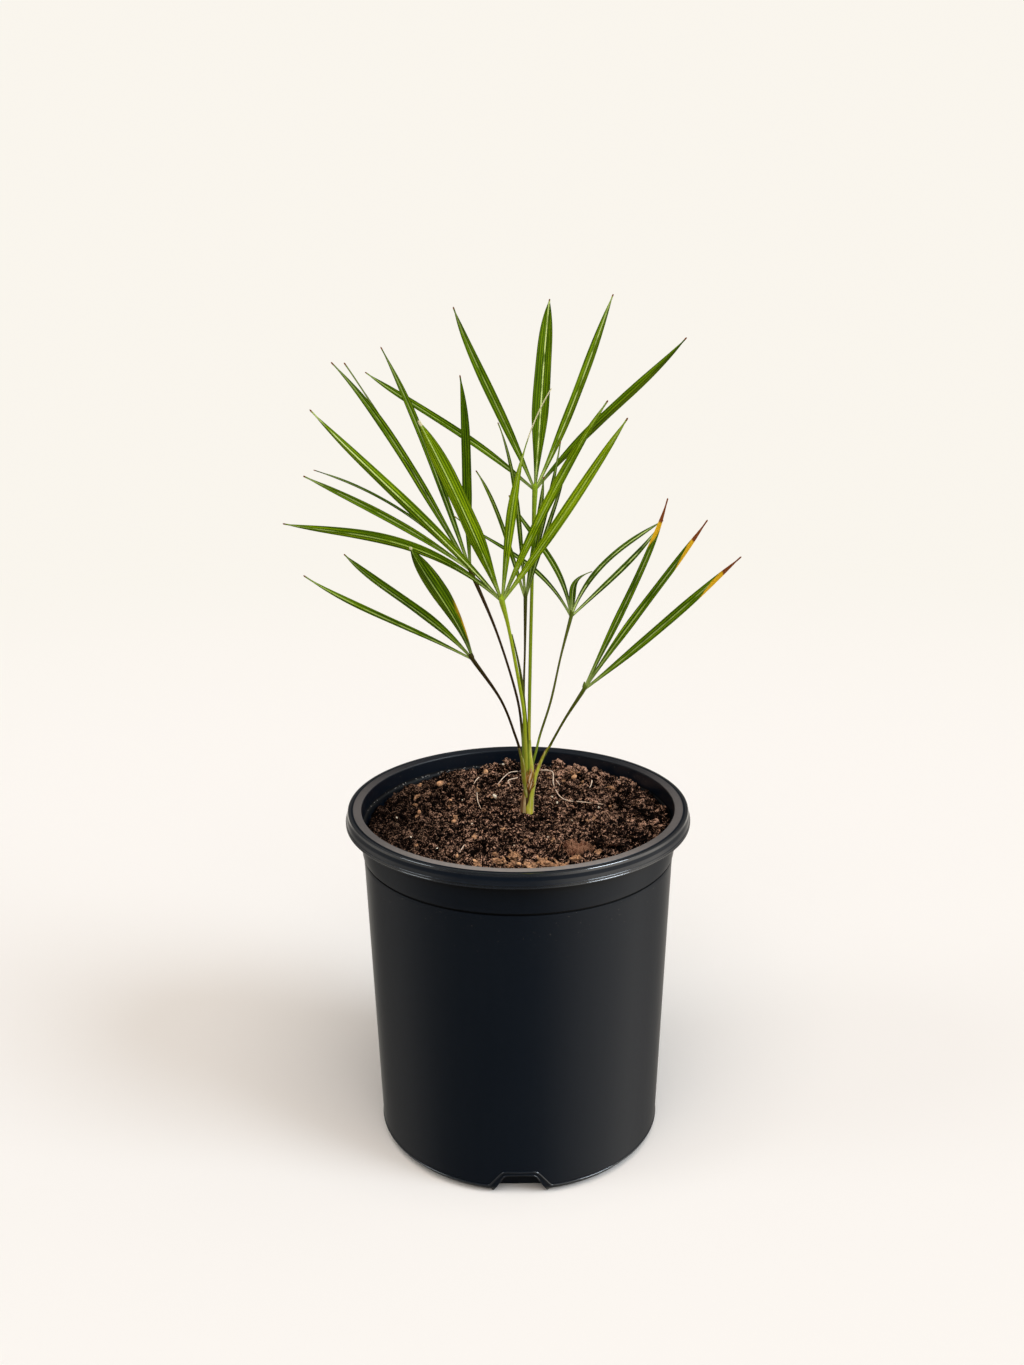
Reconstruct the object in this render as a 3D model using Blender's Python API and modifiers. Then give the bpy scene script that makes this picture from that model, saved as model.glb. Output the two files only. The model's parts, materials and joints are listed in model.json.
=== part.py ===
"""Potted thatch palm: a young fan palm in a black nursery pot.

Blender 4.5, metres, +Z up. The origin is the centre of the pot's underside, where it stands on the
floor. +Y points away from the front, +X to the right. Sizes below are in millimetres.
"""

import math
import random
from typing import NamedTuple

import bmesh
import bpy
from mathutils import Matrix, Vector, noise
from mathutils.bvhtree import BVHTree

# General sizes
MM = 0.001
MERGE = 0.0000005
GAP = 0.3
OBJECT_NAME = "potted_thatch_palm"
SEED = 41

# Pot
POT_HEIGHT = 172.5
POT_STEPS = 44
RING_OUTER = 82.4
RING_INNER = 76.2
RING_THICKNESS = 2.2
LIP_RADIUS = 84.0
LIP_DROP = 7.0
LIP_WALL = 1.8
LIP_ROUND = 0.7
LIP_BEAD = 1.6
COLLAR_TOP = 78.0
COLLAR_FOOT = 76.3
COLLAR_DROP = 23.2
BODY_TOP = 75.8
BODY_FOOT = 71.0
BASE_CORNER = 6.0
CORNER_STEPS = 4
POT_WALL = 1.4
LEDGE_DROP = 8.5
LEDGE_WIDTH = 0.9
FLOOR_THICKNESS = 2.0
FOOT_RING_INNER = 60.4
FOOT_RING_HEIGHT = 13.4
NOTCH_WIDTH = 26.0
NOTCH_HEIGHT = 11.6
NOTCH_DEPTH = 9.0
NOTCH_ROUNDING = 5.0
NOTCH_OUTSIDE = 8.0
NOTCH_ANGLES = (-89.0, 31.0, 151.0)

# Soil
SOIL_TOP = 166.0
SOIL_RINGS = (12.0, 25.0, 38.0, 51.0, 63.0)
SOIL_FALL = 1.6
SOIL_LUMP = 1.5
SOIL_LUMP_SIZE = 15.0
SOIL_EDGE = 0.4
SOIL_SIDE = 9.0
SOIL_HOLLOW = (-62.0, 6.0)
SOIL_HOLLOW_DEPTH = 4.0
SOIL_HOLLOW_REACH = 24.0
CLOD_COUNT = 26
CLOD_RADIUS = (1.8, 4.2)
CLOD_SHAPE = (1.0, 0.85, 0.65)
CLOD_SINK = 0.15
CHIP_COUNT = 10
CHIP_SIZE = (7.0, 2.4, 1.6)
CHIP_RISE = 0.1
CHIP_TILT = 20.0
BIT_JITTER = 0.12
CLEAR_OF_STEM = 11.0
CLEAR_OF_WALL = 66.0

# Stem: places and radii from the buried end up
STEM_ROUTE = (
    (4.7, 0.0, 140.0, 2.6),
    (4.7, 0.0, 158.0, 3.2),
    (4.7, 0.0, 167.0, 3.5),
    (4.6, 0.0, 176.0, 3.3),
    (4.7, 0.0, 184.0, 3.3),
    (4.9, 0.0, 189.0, 3.0),
)
STEM_DEPTH_STRETCH = 1.5

# Blades and petioles
BLADE_THICKNESS = 0.8
BLADE_ROOT = 1.3
BLADE_TIP = 0.5
BLADE_CELLS = 6
WANE = 0.45
ROLLED_BY = 0.4
FOLD = 0.30
PLEAT = 0.10
FLAT_BELOW = 1.3
SLOPE_STEP = 0.01
HASTULA = 1.5
TUBE_POINTS = 14

# Roots on the soil
ROOT_RADIUS = 0.4
ROOT_PROBE = 1.0
ROOT_POINTS = 18

# Colours, roughness and metallic value
FINISHES = {
    "pot_plastic": ((0.012, 0.014, 0.019), 0.38, 0.0),
    "potting_mix": ((0.045, 0.024, 0.015), 0.95, 0.0),
    "stem_sheath": ((0.26, 0.30, 0.05), 0.6, 0.0),
    "leaf_bright": ((0.13, 0.26, 0.02), 0.45, 0.0),
    "leaf_green": ((0.07, 0.17, 0.02), 0.45, 0.0),
    "leaf_dark": ((0.04, 0.10, 0.015), 0.5, 0.0),
    "dry_root": ((0.62, 0.46, 0.34), 0.8, 0.0),
}

# Fronds: a frond's hub is the last place of its petiole, where the blades meet. Turn and lean, in degrees,
# set the plane that the blades fan out in, and cup is the side that their folds open to. A petiole's places
# run from its foot in the stem to the hub, each with a radius.


class Blade(NamedTuple):
    """One blade: its angle from upright in the fan, length, width, and how it bends, widens and ends."""

    angle: float
    length: float
    width: float
    bow: float = 0.0
    hook: float = 0.0
    lift: float = 0.0
    roll: float = 0.0
    taper: float = 2.2
    swell: float = 0.42
    cells: int = 2


class Frond(NamedTuple):
    """One frond: its finish, the plane of its fan, its petiole and its blades."""

    material: str
    turn: float
    lean: float
    cup: int
    petiole: tuple
    blades: dict


FRONDS = {
    "frond_front": Frond(
        material="leaf_bright", turn=-8, lean=-12, cup=-1,
        petiole=(
            (4.0, -2.9, 184, 0.9),
            (3.9, -3.3, 194, 0.9),
            (2.9, -5.4, 208, 0.9),
            (0.9, -12.0, 234, 0.85),
            (-3.7, -23.4, 266, 0.8),
            (-6.7, -30.0, 280.5, 0.9),
        ),
        blades={
            "a1": Blade(-80, 101, 4.8, bow=18, hook=18),
            "a2": Blade(-45, 117, 4.6, bow=3.5, hook=6, roll=15, taper=2.0),
            "a3": Blade(-20, 90, 7.7, bow=1, lift=6, taper=3.6, cells=4),
            "a4": Blade(7, 97, 4.0, hook=11.5, lift=-6, taper=1.2),
            "a5": Blade(26, 103, 4.2, bow=-1.5, hook=2),
            "a6": Blade(32, 102, 4.5, bow=1.5, hook=1.5, lift=4),
        },
    ),
    "frond_low_left": Frond(
        material="leaf_green", turn=-15, lean=-25, cup=-1,
        petiole=(
            (1.5, -3.4, 178, 1.0),
            (2.0, -5.0, 188, 1.0),
            (1.8, -8.2, 199, 0.8),
            (-0.9, -13.4, 211, 0.7),
            (-7.6, -26.6, 233.5, 0.65),
            (-19.6, -45.0, 258, 0.7),
        ),
        blades={
            "b1": Blade(-24, 62, 8.6, bow=5, hook=7, taper=4.0, swell=0.62, cells=4),
            "b2": Blade(-52, 72, 5.1, bow=7, hook=12.5, taper=2.6),
            "b3": Blade(-63, 81, 2.8, bow=2, hook=9, lift=4, roll=20),
        },
    ),
    "frond_back_left": Frond(
        material="leaf_dark", turn=12, lean=8, cup=1,
        petiole=(
            (3.2, 3.0, 184, 0.75),
            (3.3, 3.1, 194, 0.75),
            (2.8, 3.8, 208, 0.7),
            (-0.2, 4.9, 226.5, 0.65),
            (-10.0, 8.2, 257.5, 0.65),
            (-21.9, 12.0, 286, 0.75),
        ),
        blades={
            "c1": Blade(-60, 89, 3.6, bow=3.5, hook=2.5, lift=5),
            "c2": Blade(-55, 86, 3.0, bow=6, lift=-5, roll=62),
            "c3": Blade(-28, 114, 4.2, hook=-7.5, roll=10),
            "c4": Blade(-18, 110, 3.9, bow=0.5, hook=-3.5, roll=20),
            "c5": Blade(3, 90, 4.5, bow=-2, hook=-6, taper=2.6),
        },
    ),
    "frond_top": Frond(
        material="leaf_green", turn=-10, lean=27, cup=1,
        petiole=(
            (5.2, -0.2, 184, 1.05),
            (5.1, -0.2, 194, 1.05),
            (4.9, 0.5, 206, 1.0),
            (5.7, 1.8, 232, 1.0),
            (6.8, 4.4, 266, 0.95),
            (7.9, 7.6, 304, 0.95),
            (8.7, 10.0, 324, 1.0),
        ),
        blades={
            "t1": Blade(-60, 104, 4.4, bow=4.5, hook=6.5, roll=25),
            "t2": Blade(-30, 102, 4.7, bow=2, hook=5.5),
            "t3": Blade(-1, 95, 7.9, bow=0.5, hook=2, taper=2.4, cells=4),
            "t4": Blade(16, 102, 4.5, bow=2.5, hook=2.5),
            "t5": Blade(46, 100, 4.3, bow=-5, hook=-8.5, roll=15),
        },
    ),
    "frond_middle": Frond(
        material="leaf_dark", turn=-35, lean=6, cup=1,
        petiole=(
            (2.7, 0.5, 184, 0.7),
            (2.8, 0.5, 194, 0.7),
            (3.0, 0.2, 210, 0.65),
            (3.2, -0.5, 234, 0.6),
            (3.7, -1.2, 251, 0.6),
            (4.0, -2.0, 275, 0.7),
        ),
        blades={
            "e1": Blade(-9, 82, 2.3, hook=-8, taper=1.8),
            "e2": Blade(12, 58, 3.0, bow=-1, hook=-2, lift=6, roll=30),
            "e3": Blade(13, 74, 2.0, bow=-1, hook=-4, lift=-2, roll=30),
            "e4": Blade(19, 64, 2.0, bow=-1.5, hook=-3, roll=40),
            "e5": Blade(-24, 65, 2.4, hook=-6, taper=1.2),
        },
    ),
    "frond_back_right": Frond(
        material="leaf_dark", turn=0, lean=50, cup=1,
        petiole=(
            (5.6, 2.4, 184, 0.7),
            (6.5, 2.8, 191, 0.7),
            (9.0, 4.3, 198, 0.7),
            (11.2, 6.1, 206, 0.65),
            (16.5, 11.2, 221.5, 0.65),
            (21.5, 19.4, 241.5, 0.6),
            (26.7, 28.0, 259, 0.7),
        ),
        blades={
            "d1": Blade(-54, 85, 2.5, bow=14, hook=18, taper=1.2),
            "d2": Blade(-34, 82, 3.3, bow=12, hook=19, taper=1.2),
            "d3": Blade(-4, 38, 3.4, bow=2, hook=15, lift=-14, taper=1.6),
            "d4": Blade(44, 78, 3.0, bow=-10, hook=-7),
            "d5": Blade(45, 71, 2.8, bow=-1, hook=-5, lift=5),
        },
    ),
    "frond_low_right": Frond(
        material="leaf_green", turn=-20, lean=20, cup=1,
        petiole=(
            (8.0, -0.4, 172, 1.4),
            (8.6, -0.4, 180, 1.3),
            (11.4, -1.4, 192, 1.1),
            (16.0, -3.2, 203, 0.75),
            (22.6, -6.2, 217.5, 0.7),
            (31.1, -10.0, 233, 0.75),
        ),
        blades={
            "r1": Blade(22, 97, 3.6, bow=-1, hook=-6.5),
            "r2": Blade(33, 97, 3.8, bow=-2, hook=-3.5),
            "r3": Blade(44, 95, 4.2, bow=1.5, hook=1.5),
        },
    ),
}
SPEAR_ROUTE = (
    (6.1, -2.7, 184, 0.6),
    (5.8, -3.2, 200, 0.6),
    (3.8, -5.2, 216, 0.65),
    (3.0, -9.0, 237, 0.65),
    (1.2, -13.4, 250, 0.5),
    (-2.0, -18.6, 263, 0.3),
)
ROOT_ROUTES = {
    "root_right": ((14.0, 63.0), (21.0, 52.0), (20.0, 40.0), (22.0, 26.0), (27.0, 16.0), (39.0, 8.0)),
    "root_left": ((-2.0, 66.0), (2.0, 58.0), (0.0, 50.0), (-8.0, 40.0), (-15.0, 30.0)),
}


def clear_scene():
    """Remove what the scene holds."""
    for obj in list(bpy.data.objects):
        bpy.data.objects.remove(obj)


def new_collection(name):
    """Make a collection linked to the scene."""
    collection = bpy.data.collections.new(name)
    bpy.context.scene.collection.children.link(collection)
    return collection


def make_material(name):
    """Make one plain finish from its colour, roughness and metallic value."""
    colour, roughness, metallic = FINISHES[name]
    material = bpy.data.materials.new(name)
    material.use_nodes = True
    shader = material.node_tree.nodes["Principled BSDF"]
    shader.inputs["Base Color"].default_value = (*colour, 1.0)
    shader.inputs["Roughness"].default_value = roughness
    shader.inputs["Metallic"].default_value = metallic
    material.diffuse_color = (*colour, 1.0)
    return material


def add_object(name, data, collection):
    """Put a mesh or a curve into a collection as an object."""
    obj = bpy.data.objects.new(name, data)
    collection.objects.link(obj)
    return obj


def evaluated_mesh(obj):
    """Return the object's mesh with its modifiers applied."""
    bpy.context.view_layer.update()
    depsgraph = bpy.context.evaluated_depsgraph_get()
    return bpy.data.meshes.new_from_object(obj.evaluated_get(depsgraph))


def apply_modifiers(obj):
    """Replace the object's mesh by what its modifiers make of it."""
    mesh = evaluated_mesh(obj)
    obj.modifiers.clear()
    obj.data = mesh


def boolean(obj, others, operation):
    """Join the other solids to the object, or cut them from it, and remove them."""
    group = new_collection("joined")
    for other in others:
        for owner in list(other.users_collection):
            owner.objects.unlink(other)
        group.objects.link(other)
    modifier = obj.modifiers.new("boolean", "BOOLEAN")
    modifier.operation = operation
    modifier.operand_type = "COLLECTION"
    modifier.collection = group
    modifier.solver = "EXACT"
    apply_modifiers(obj)
    for other in list(group.objects):
        bpy.data.objects.remove(other)
    bpy.data.collections.remove(group)


def finish(obj, material, angle=40.0):
    """Give the object its material and smooth shading with sharp edges."""
    obj.data.materials.clear()
    obj.data.materials.append(material)
    obj.data.shade_smooth()
    obj.data.set_sharp_from_angle(angle=math.radians(angle))


def along(points, share):
    """Return the place at a share of a smooth line through the points."""
    last = len(points) - 1
    position = min(max(share, 0.0), 1.0) * last
    index = min(int(position), last - 1)
    t = position - index
    before = Vector(points[max(index - 1, 0)])
    start = Vector(points[index])
    end = Vector(points[index + 1])
    after = Vector(points[min(index + 2, last)])
    return 0.5 * (
        2.0 * start
        + (end - before) * t
        + (2.0 * before - 5.0 * start + 4.0 * end - after) * t * t
        + (3.0 * start - before - 3.0 * end + after) * t ** 3
    )


def tube(name, route, collection, grow=0.0, count=TUBE_POINTS, sides=2):
    """Make a round tube through places in mm, each with a radius, as a closed mesh."""
    curve = bpy.data.curves.new(name, "CURVE")
    curve.dimensions = "3D"
    curve.bevel_depth = MM
    curve.bevel_resolution = sides
    curve.use_fill_caps = True
    spline = curve.splines.new("POLY")
    spline.points.add(count - 1)
    for index, point in enumerate(spline.points):
        x, y, z, radius = along(route, index / (count - 1))
        point.co = (x * MM, y * MM, z * MM, 1.0)
        point.radius = radius + grow
    line = add_object(name, curve, collection)
    mesh = evaluated_mesh(line)
    bpy.data.objects.remove(line)
    weld(mesh)
    return add_object(name, mesh, collection)


def weld(mesh):
    """Merge a mesh's doubles."""
    bm = bmesh.new()
    bm.from_mesh(mesh)
    bmesh.ops.remove_doubles(bm, verts=bm.verts, dist=MERGE)
    bm.to_mesh(mesh)
    bm.free()


def turned(name, profile, steps, collection):
    """Turn a profile of radius and height in mm about the Z axis."""
    mesh = bpy.data.meshes.new(name)
    verts = [(radius * MM, 0.0, height * MM) for radius, height in profile]
    edges = [(index, index + 1) for index in range(len(profile) - 1)]
    mesh.from_pydata(verts, edges, [])
    obj = add_object(name, mesh, collection)
    screw = obj.modifiers.new("turn", "SCREW")
    screw.axis = "Z"
    screw.angle = math.tau
    screw.steps = steps
    screw.render_steps = steps
    screw.use_merge_vertices = True
    screw.merge_threshold = 0.0001 * MM
    apply_modifiers(obj)
    return obj


def inner_radius(height):
    """Return the inside radius of the pot's body at a height in mm."""
    share = (height - BASE_CORNER) / (POT_HEIGHT - COLLAR_DROP - BASE_CORNER)
    return BODY_FOOT + (BODY_TOP - BODY_FOOT) * share - POT_WALL


def corner(radius, centre_height):
    """Return the rounded base corner of an outline, from the wall down to the floor."""
    centre_radius = BODY_FOOT - BASE_CORNER
    points = []
    for index in range(CORNER_STEPS + 1):
        angle = math.radians(90.0 * index / CORNER_STEPS)
        points.append((centre_radius + radius * math.cos(angle), centre_height - radius * math.sin(angle)))
    return points


def pot_profile():
    """Return the pot's outline, from the inside of its floor over the rim and down to its underside."""
    ledge = POT_HEIGHT - LEDGE_DROP
    inside = [(0.0, FLOOR_THICKNESS)]
    inside += [(FOOT_RING_INNER, FLOOR_THICKNESS), (FOOT_RING_INNER, FOOT_RING_HEIGHT)]
    inside += [(inner_radius(FOOT_RING_HEIGHT), FOOT_RING_HEIGHT), (inner_radius(ledge), ledge)]
    inside += [(RING_INNER - LEDGE_WIDTH, ledge + LIP_ROUND), (RING_INNER, POT_HEIGHT)]
    under_ring = POT_HEIGHT - RING_THICKNESS
    lip_foot = POT_HEIGHT - LIP_DROP
    rim = [
        (RING_OUTER, POT_HEIGHT),
        (LIP_RADIUS - LIP_ROUND, POT_HEIGHT - LIP_ROUND),
        (LIP_RADIUS - 0.3 * LIP_ROUND, under_ring),
        (LIP_RADIUS, lip_foot + LIP_BEAD),
        (LIP_RADIUS - 0.4 * LIP_ROUND, lip_foot),
        (LIP_RADIUS - LIP_WALL, lip_foot),
        (LIP_RADIUS - LIP_WALL, under_ring),
        (COLLAR_TOP, under_ring),
    ]
    step = POT_HEIGHT - COLLAR_DROP
    outside = [(COLLAR_TOP, lip_foot), (COLLAR_FOOT, step + LIP_ROUND), (BODY_TOP, step)]
    outside += corner(BASE_CORNER, BASE_CORNER)
    return inside + rim + outside + [(0.0, 0.0)]


def notch_cutter(angle, collection):
    """Make the rounded block that cuts one drain notch from the base's edge."""
    radians = math.radians(angle)
    length = NOTCH_DEPTH + NOTCH_OUTSIDE
    reach = BODY_FOOT + NOTCH_OUTSIDE - 0.5 * length
    bpy.ops.mesh.primitive_cube_add(size=1.0)
    block = bpy.context.active_object
    block.name = "notch_cutter"
    block.scale = (length * MM, NOTCH_WIDTH * MM, 2.0 * NOTCH_HEIGHT * MM)
    block.rotation_euler = (0.0, 0.0, radians)
    block.location = (reach * math.cos(radians) * MM, reach * math.sin(radians) * MM, 0.0)
    bpy.ops.object.transform_apply(location=True, rotation=True, scale=True)
    rounding = block.modifiers.new("round", "BEVEL")
    rounding.width = NOTCH_ROUNDING * MM
    rounding.segments = 3
    block.display_type = "WIRE"
    block.hide_render = True
    for owner in list(block.users_collection):
        owner.objects.unlink(block)
    collection.objects.link(block)
    return block


def make_pot(collection, cutters):
    """Make the pot with its rim, lip, collar, body and drain notches."""
    pot = turned("pot", pot_profile(), POT_STEPS, collection)
    boolean(pot, [notch_cutter(angle, cutters) for angle in NOTCH_ANGLES], "DIFFERENCE")
    return pot


def soil_height(x, y):
    """Return the height of the soil's surface in mm at a place."""
    radius = math.hypot(x, y) / inner_radius(SOIL_TOP)
    lumps = noise.noise(Vector((x, y, 3.0)) / SOIL_LUMP_SIZE)
    lumps += 0.6 * noise.noise(Vector((x, y, 9.0)) / (0.5 * SOIL_LUMP_SIZE))
    hollow = math.hypot(x - SOIL_HOLLOW[0], y - SOIL_HOLLOW[1]) / SOIL_HOLLOW_REACH
    hollow_depth = SOIL_HOLLOW_DEPTH * math.exp(-hollow * hollow)
    return SOIL_TOP - SOIL_FALL * radius * radius + SOIL_LUMP * lumps - hollow_depth


def soil_profile():
    """Return the soil's outline, from the middle of its top down to the pot's floor."""
    edge = inner_radius(SOIL_TOP - SOIL_HOLLOW_DEPTH) - GAP - SOIL_EDGE
    profile = [(0.0, SOIL_TOP)]
    profile += [(radius, SOIL_TOP) for radius in SOIL_RINGS]
    profile += [(edge, SOIL_TOP), (edge, SOIL_TOP - SOIL_SIDE)]
    shelf = FOOT_RING_HEIGHT + GAP
    foot = FOOT_RING_INNER - GAP
    profile += [(inner_radius(shelf) - GAP, shelf), (foot, shelf)]
    profile += [(foot, FLOOR_THICKNESS + GAP), (0.0, FLOOR_THICKNESS + GAP)]
    return profile


def lay(obj, x, y, sink, turn):
    """Place a small solid on the soil, turned at random and partly sunk."""
    height = soil_height(x, y) - sink
    matrix = Matrix.Translation(Vector((x, y, height)) * MM) @ turn.to_4x4()
    obj.data.transform(matrix)
    return obj


def small_solid(name, size, draws, collection):
    """Make a clod from a low ball, or a bark chip from a block, with the given size along each axis in mm."""
    bm = bmesh.new()
    if name == "clod":
        bmesh.ops.create_icosphere(bm, subdivisions=1, radius=1.0)
    else:
        bmesh.ops.create_cube(bm, size=1.0)
    for vert in bm.verts:
        jitter = draws.uniform(1.0 - BIT_JITTER, 1.0 + BIT_JITTER)
        vert.co = Vector(a * b for a, b in zip(vert.co, size)) * jitter * MM
    mesh = bpy.data.meshes.new(name)
    bm.to_mesh(mesh)
    bm.free()
    return add_object(name, mesh, collection)


def soil_place(draws):
    """Draw a place on the soil that is clear of the stem and of the wall."""
    radius = draws.uniform(CLEAR_OF_STEM ** 2, CLEAR_OF_WALL ** 2) ** 0.5
    angle = draws.uniform(0.0, math.tau)
    towards_stem = STEM_ROUTE[0][0] * (1.0 - radius / CLEAR_OF_WALL)
    return towards_stem + radius * math.cos(angle), radius * math.sin(angle)


def scattered_bits(collection):
    """Make the clods and bark chips that stand out of the soil."""
    draws = random.Random(SEED)
    bits = []
    for index in range(CLOD_COUNT + CHIP_COUNT):
        x, y = soil_place(draws)
        if index < CLOD_COUNT:
            radius = draws.uniform(*CLOD_RADIUS)
            turn = Matrix.Rotation(draws.uniform(0.0, math.tau), 3, "Z")
            bit = small_solid("clod", [radius * share for share in CLOD_SHAPE], draws, collection)
            bits.append(lay(bit, x, y, CLOD_SINK * radius, turn))
        else:
            turn = Matrix.Rotation(draws.uniform(0.0, math.tau), 3, "Z")
            turn = turn @ Matrix.Rotation(math.radians(draws.uniform(-CHIP_TILT, CHIP_TILT)), 3, "Y")
            bit = small_solid("chip", CHIP_SIZE, draws, collection)
            bits.append(lay(bit, x, y, -CHIP_RISE, turn))
    return bits


def make_soil(collection, cutters):
    """Make the potting mix that fills the pot, with a plain hole for the stem."""
    soil = turned("soil", soil_profile(), POT_STEPS, collection)
    surface = (SOIL_TOP - 0.01) * MM
    for vert in soil.data.vertices:
        if vert.co.z > surface:
            vert.co.z = soil_height(vert.co.x / MM, vert.co.y / MM) * MM
    boolean(soil, scattered_bits(collection), "UNION")
    boolean(soil, [stem_tube("stem_hole", cutters, GAP)], "DIFFERENCE")
    return soil


def stem_tube(name, collection, grow=0.0):
    """Make the stem's body, deeper from front to back than it is wide."""
    route = list(STEM_ROUTE)
    if grow > 0.0:
        x, y, z, radius = route[0]
        route[0] = (x, y, z - grow, radius)
        x, y, z, radius = route[-1]
        route[-1] = (x, y, z + grow, radius)
    body = tube(name, route, collection, grow)
    for vert in body.data.vertices:
        vert.co.y *= STEM_DEPTH_STRETCH
    return body


def petiole_routes():
    """Return the route of each petiole and of the spear."""
    routes = {name: frond.petiole for name, frond in FRONDS.items()}
    routes["spear"] = SPEAR_ROUTE
    return routes


def make_stem(collection, cutters):
    """Make the stump of wrapped leaf bases, with a socket for each petiole's foot."""
    stem = stem_tube("stem", collection)
    sockets = []
    for name, route in petiole_routes().items():
        x, y, z, radius = route[0]
        deeper = ((x, y, z - GAP, radius),) + tuple(route[1:])
        sockets.append(tube(name + "_socket", deeper, cutters, GAP))
    boolean(stem, sockets, "DIFFERENCE")
    return stem


def fan_axes(turn, lean):
    """Return the right, up and facing directions of a fan's plane."""
    turn = math.radians(turn)
    lean = math.radians(lean)
    facing = Vector((math.sin(turn), -math.cos(turn), 0.0))
    right = Vector((math.cos(turn), math.sin(turn), 0.0))
    up = Vector((0.0, 0.0, math.cos(lean))) - facing * math.sin(lean)
    return right, up, facing * math.cos(lean) + Vector((0.0, 0.0, math.sin(lean)))


def smooth(value):
    """Return a smooth step of a value from 0 to 1."""
    value = min(max(value, 0.0), 1.0)
    return value * value * (3.0 - 2.0 * value)


def blade_width(t, blade):
    """Return a blade's width in mm at a share of its length."""
    spread = BLADE_ROOT + (blade.width - BLADE_ROOT) * smooth(t / blade.swell)
    tip = 1.0 - max((t - WANE) / (1.0 - WANE), 0.0) ** blade.taper
    return max(spread * tip, BLADE_TIP)


def blade_line(t, blade, axes):
    """Return the place of a blade's middle line from its hub, in mm."""
    right, up, facing = axes
    angle = math.radians(blade.angle)
    forward = up * math.cos(angle) + right * math.sin(angle)
    side = right * math.cos(angle) - up * math.sin(angle)
    bend = blade.bow * 4.0 * t * (1.0 - t) + blade.hook * t ** 4
    return forward * blade.length * t + side * bend + facing * blade.lift * t * t


def make_blade(name, hub, blade, axes, cup, collection):
    """Make one folded blade as a sheet of triangles with a wall."""
    bm = bmesh.new()
    bmesh.ops.create_grid(bm, x_segments=blade.cells, y_segments=BLADE_CELLS, size=0.5)
    for vert in bm.verts:
        across = 2.0 * vert.co.x
        t = vert.co.y + 0.5
        ahead = blade_line(t + SLOPE_STEP, blade, axes)
        line = (ahead - blade_line(t - SLOPE_STEP, blade, axes)).normalized()
        side = line.cross(axes[2]).normalized()
        side = Matrix.Rotation(math.radians(blade.roll) * smooth(t / ROLLED_BY), 3, line) @ side
        upright = side.cross(line)
        half = 0.5 * blade_width(t, blade)
        row = round((across + 1.0) * 0.5 * blade.cells)
        pleat = PLEAT * (row % 2) if blade.cells > 2 else 0.0
        rise = cup * half * (FOLD * (abs(across) - 0.5) + pleat) * smooth(half / FLAT_BELOW)
        place = blade_line(t, blade, axes) + side * half * across + upright * rise
        vert.co = (Vector(hub) + place) * MM
    bmesh.ops.triangulate(bm, faces=bm.faces, quad_method="FIXED")
    mesh = bpy.data.meshes.new(name)
    bm.to_mesh(mesh)
    bm.free()
    obj = add_object(name, mesh, collection)
    wall = obj.modifiers.new("wall", "SOLIDIFY")
    wall.thickness = BLADE_THICKNESS * MM
    wall.offset = 0.0
    return obj


def make_hastula(hub, collection):
    """Make the small knob where a frond's blades meet its petiole."""
    bpy.ops.mesh.primitive_ico_sphere_add(subdivisions=2, radius=HASTULA * MM, location=Vector(hub) * MM)
    knob = bpy.context.active_object
    bpy.ops.object.transform_apply(location=True, rotation=True, scale=True)
    for owner in list(knob.users_collection):
        owner.objects.unlink(knob)
    collection.objects.link(knob)
    return knob


def make_frond(name, frond, collection):
    """Make one frond: its petiole with the blades and the hastula joined to it."""
    axes = fan_axes(frond.turn, frond.lean)
    hub = frond.petiole[-1][:3]
    stalk = tube(name, frond.petiole, collection)
    pieces = [make_hastula(hub, collection)]
    for key, blade in frond.blades.items():
        pieces.append(make_blade(key, hub, blade, axes, frond.cup, collection))
    boolean(stalk, pieces, "UNION")
    return stalk


def surface_tree(obj):
    """Return a search tree of an object's faces."""
    depsgraph = bpy.context.evaluated_depsgraph_get()
    return BVHTree.FromObject(obj, depsgraph)


def make_root(name, route, ground, collection):
    """Lay a thin dry root over the soil along a route seen from above."""
    places = []
    for index in range(ROOT_POINTS):
        x, y = along(route, index / (ROOT_POINTS - 1))
        heights = []
        for dx, dy in ((0.0, 0.0), (1.0, 0.0), (-1.0, 0.0), (0.0, 1.0), (0.0, -1.0)):
            origin = Vector((x + dx * ROOT_PROBE, y + dy * ROOT_PROBE, POT_HEIGHT)) * MM
            heights.append(ground.ray_cast(origin, Vector((0.0, 0.0, -1.0)))[0].z / MM)
        places.append((x, y, max(heights) + ROOT_RADIUS + GAP))
    heights = [place[2] for place in places]
    laid = []
    for index, (x, y, z) in enumerate(places):
        nearby = heights[max(index - 1, 0):index + 2]
        laid.append((x, y, max(nearby), ROOT_RADIUS))
    return tube(name, laid, collection, count=ROOT_POINTS, sides=1)


def main():
    """Build the whole object."""
    clear_scene()
    parts = new_collection(OBJECT_NAME)
    cutters = new_collection("cutters")
    materials = {name: make_material(name) for name in FINISHES}
    finish(make_pot(parts, cutters), materials["pot_plastic"])
    soil = make_soil(parts, cutters)
    finish(soil, materials["potting_mix"], 25.0)
    finish(make_stem(parts, cutters), materials["stem_sheath"])
    for name, frond in FRONDS.items():
        finish(make_frond(name, frond, parts), materials[frond.material])
    finish(tube("spear", SPEAR_ROUTE, parts), materials["leaf_green"])
    ground = surface_tree(soil)
    for name, route in ROOT_ROUTES.items():
        finish(make_root(name, route, ground, parts), materials["dry_root"])


main()
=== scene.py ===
"""Looks of the potted thatch palm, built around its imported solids.

Sizes are in millimetres unless a name says otherwise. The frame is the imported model's: +Z up, +Y away from
the camera, the origin under the middle of the pot. Each class builds one sub-assembly and dresses it.
"""

import json
import logging
import random
from collections.abc import Mapping, Sequence
from dataclasses import dataclass, field
from enum import Enum
from math import cos, degrees, exp, hypot, pi, radians, sin, sqrt, tau
from typing import ClassVar

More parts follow.
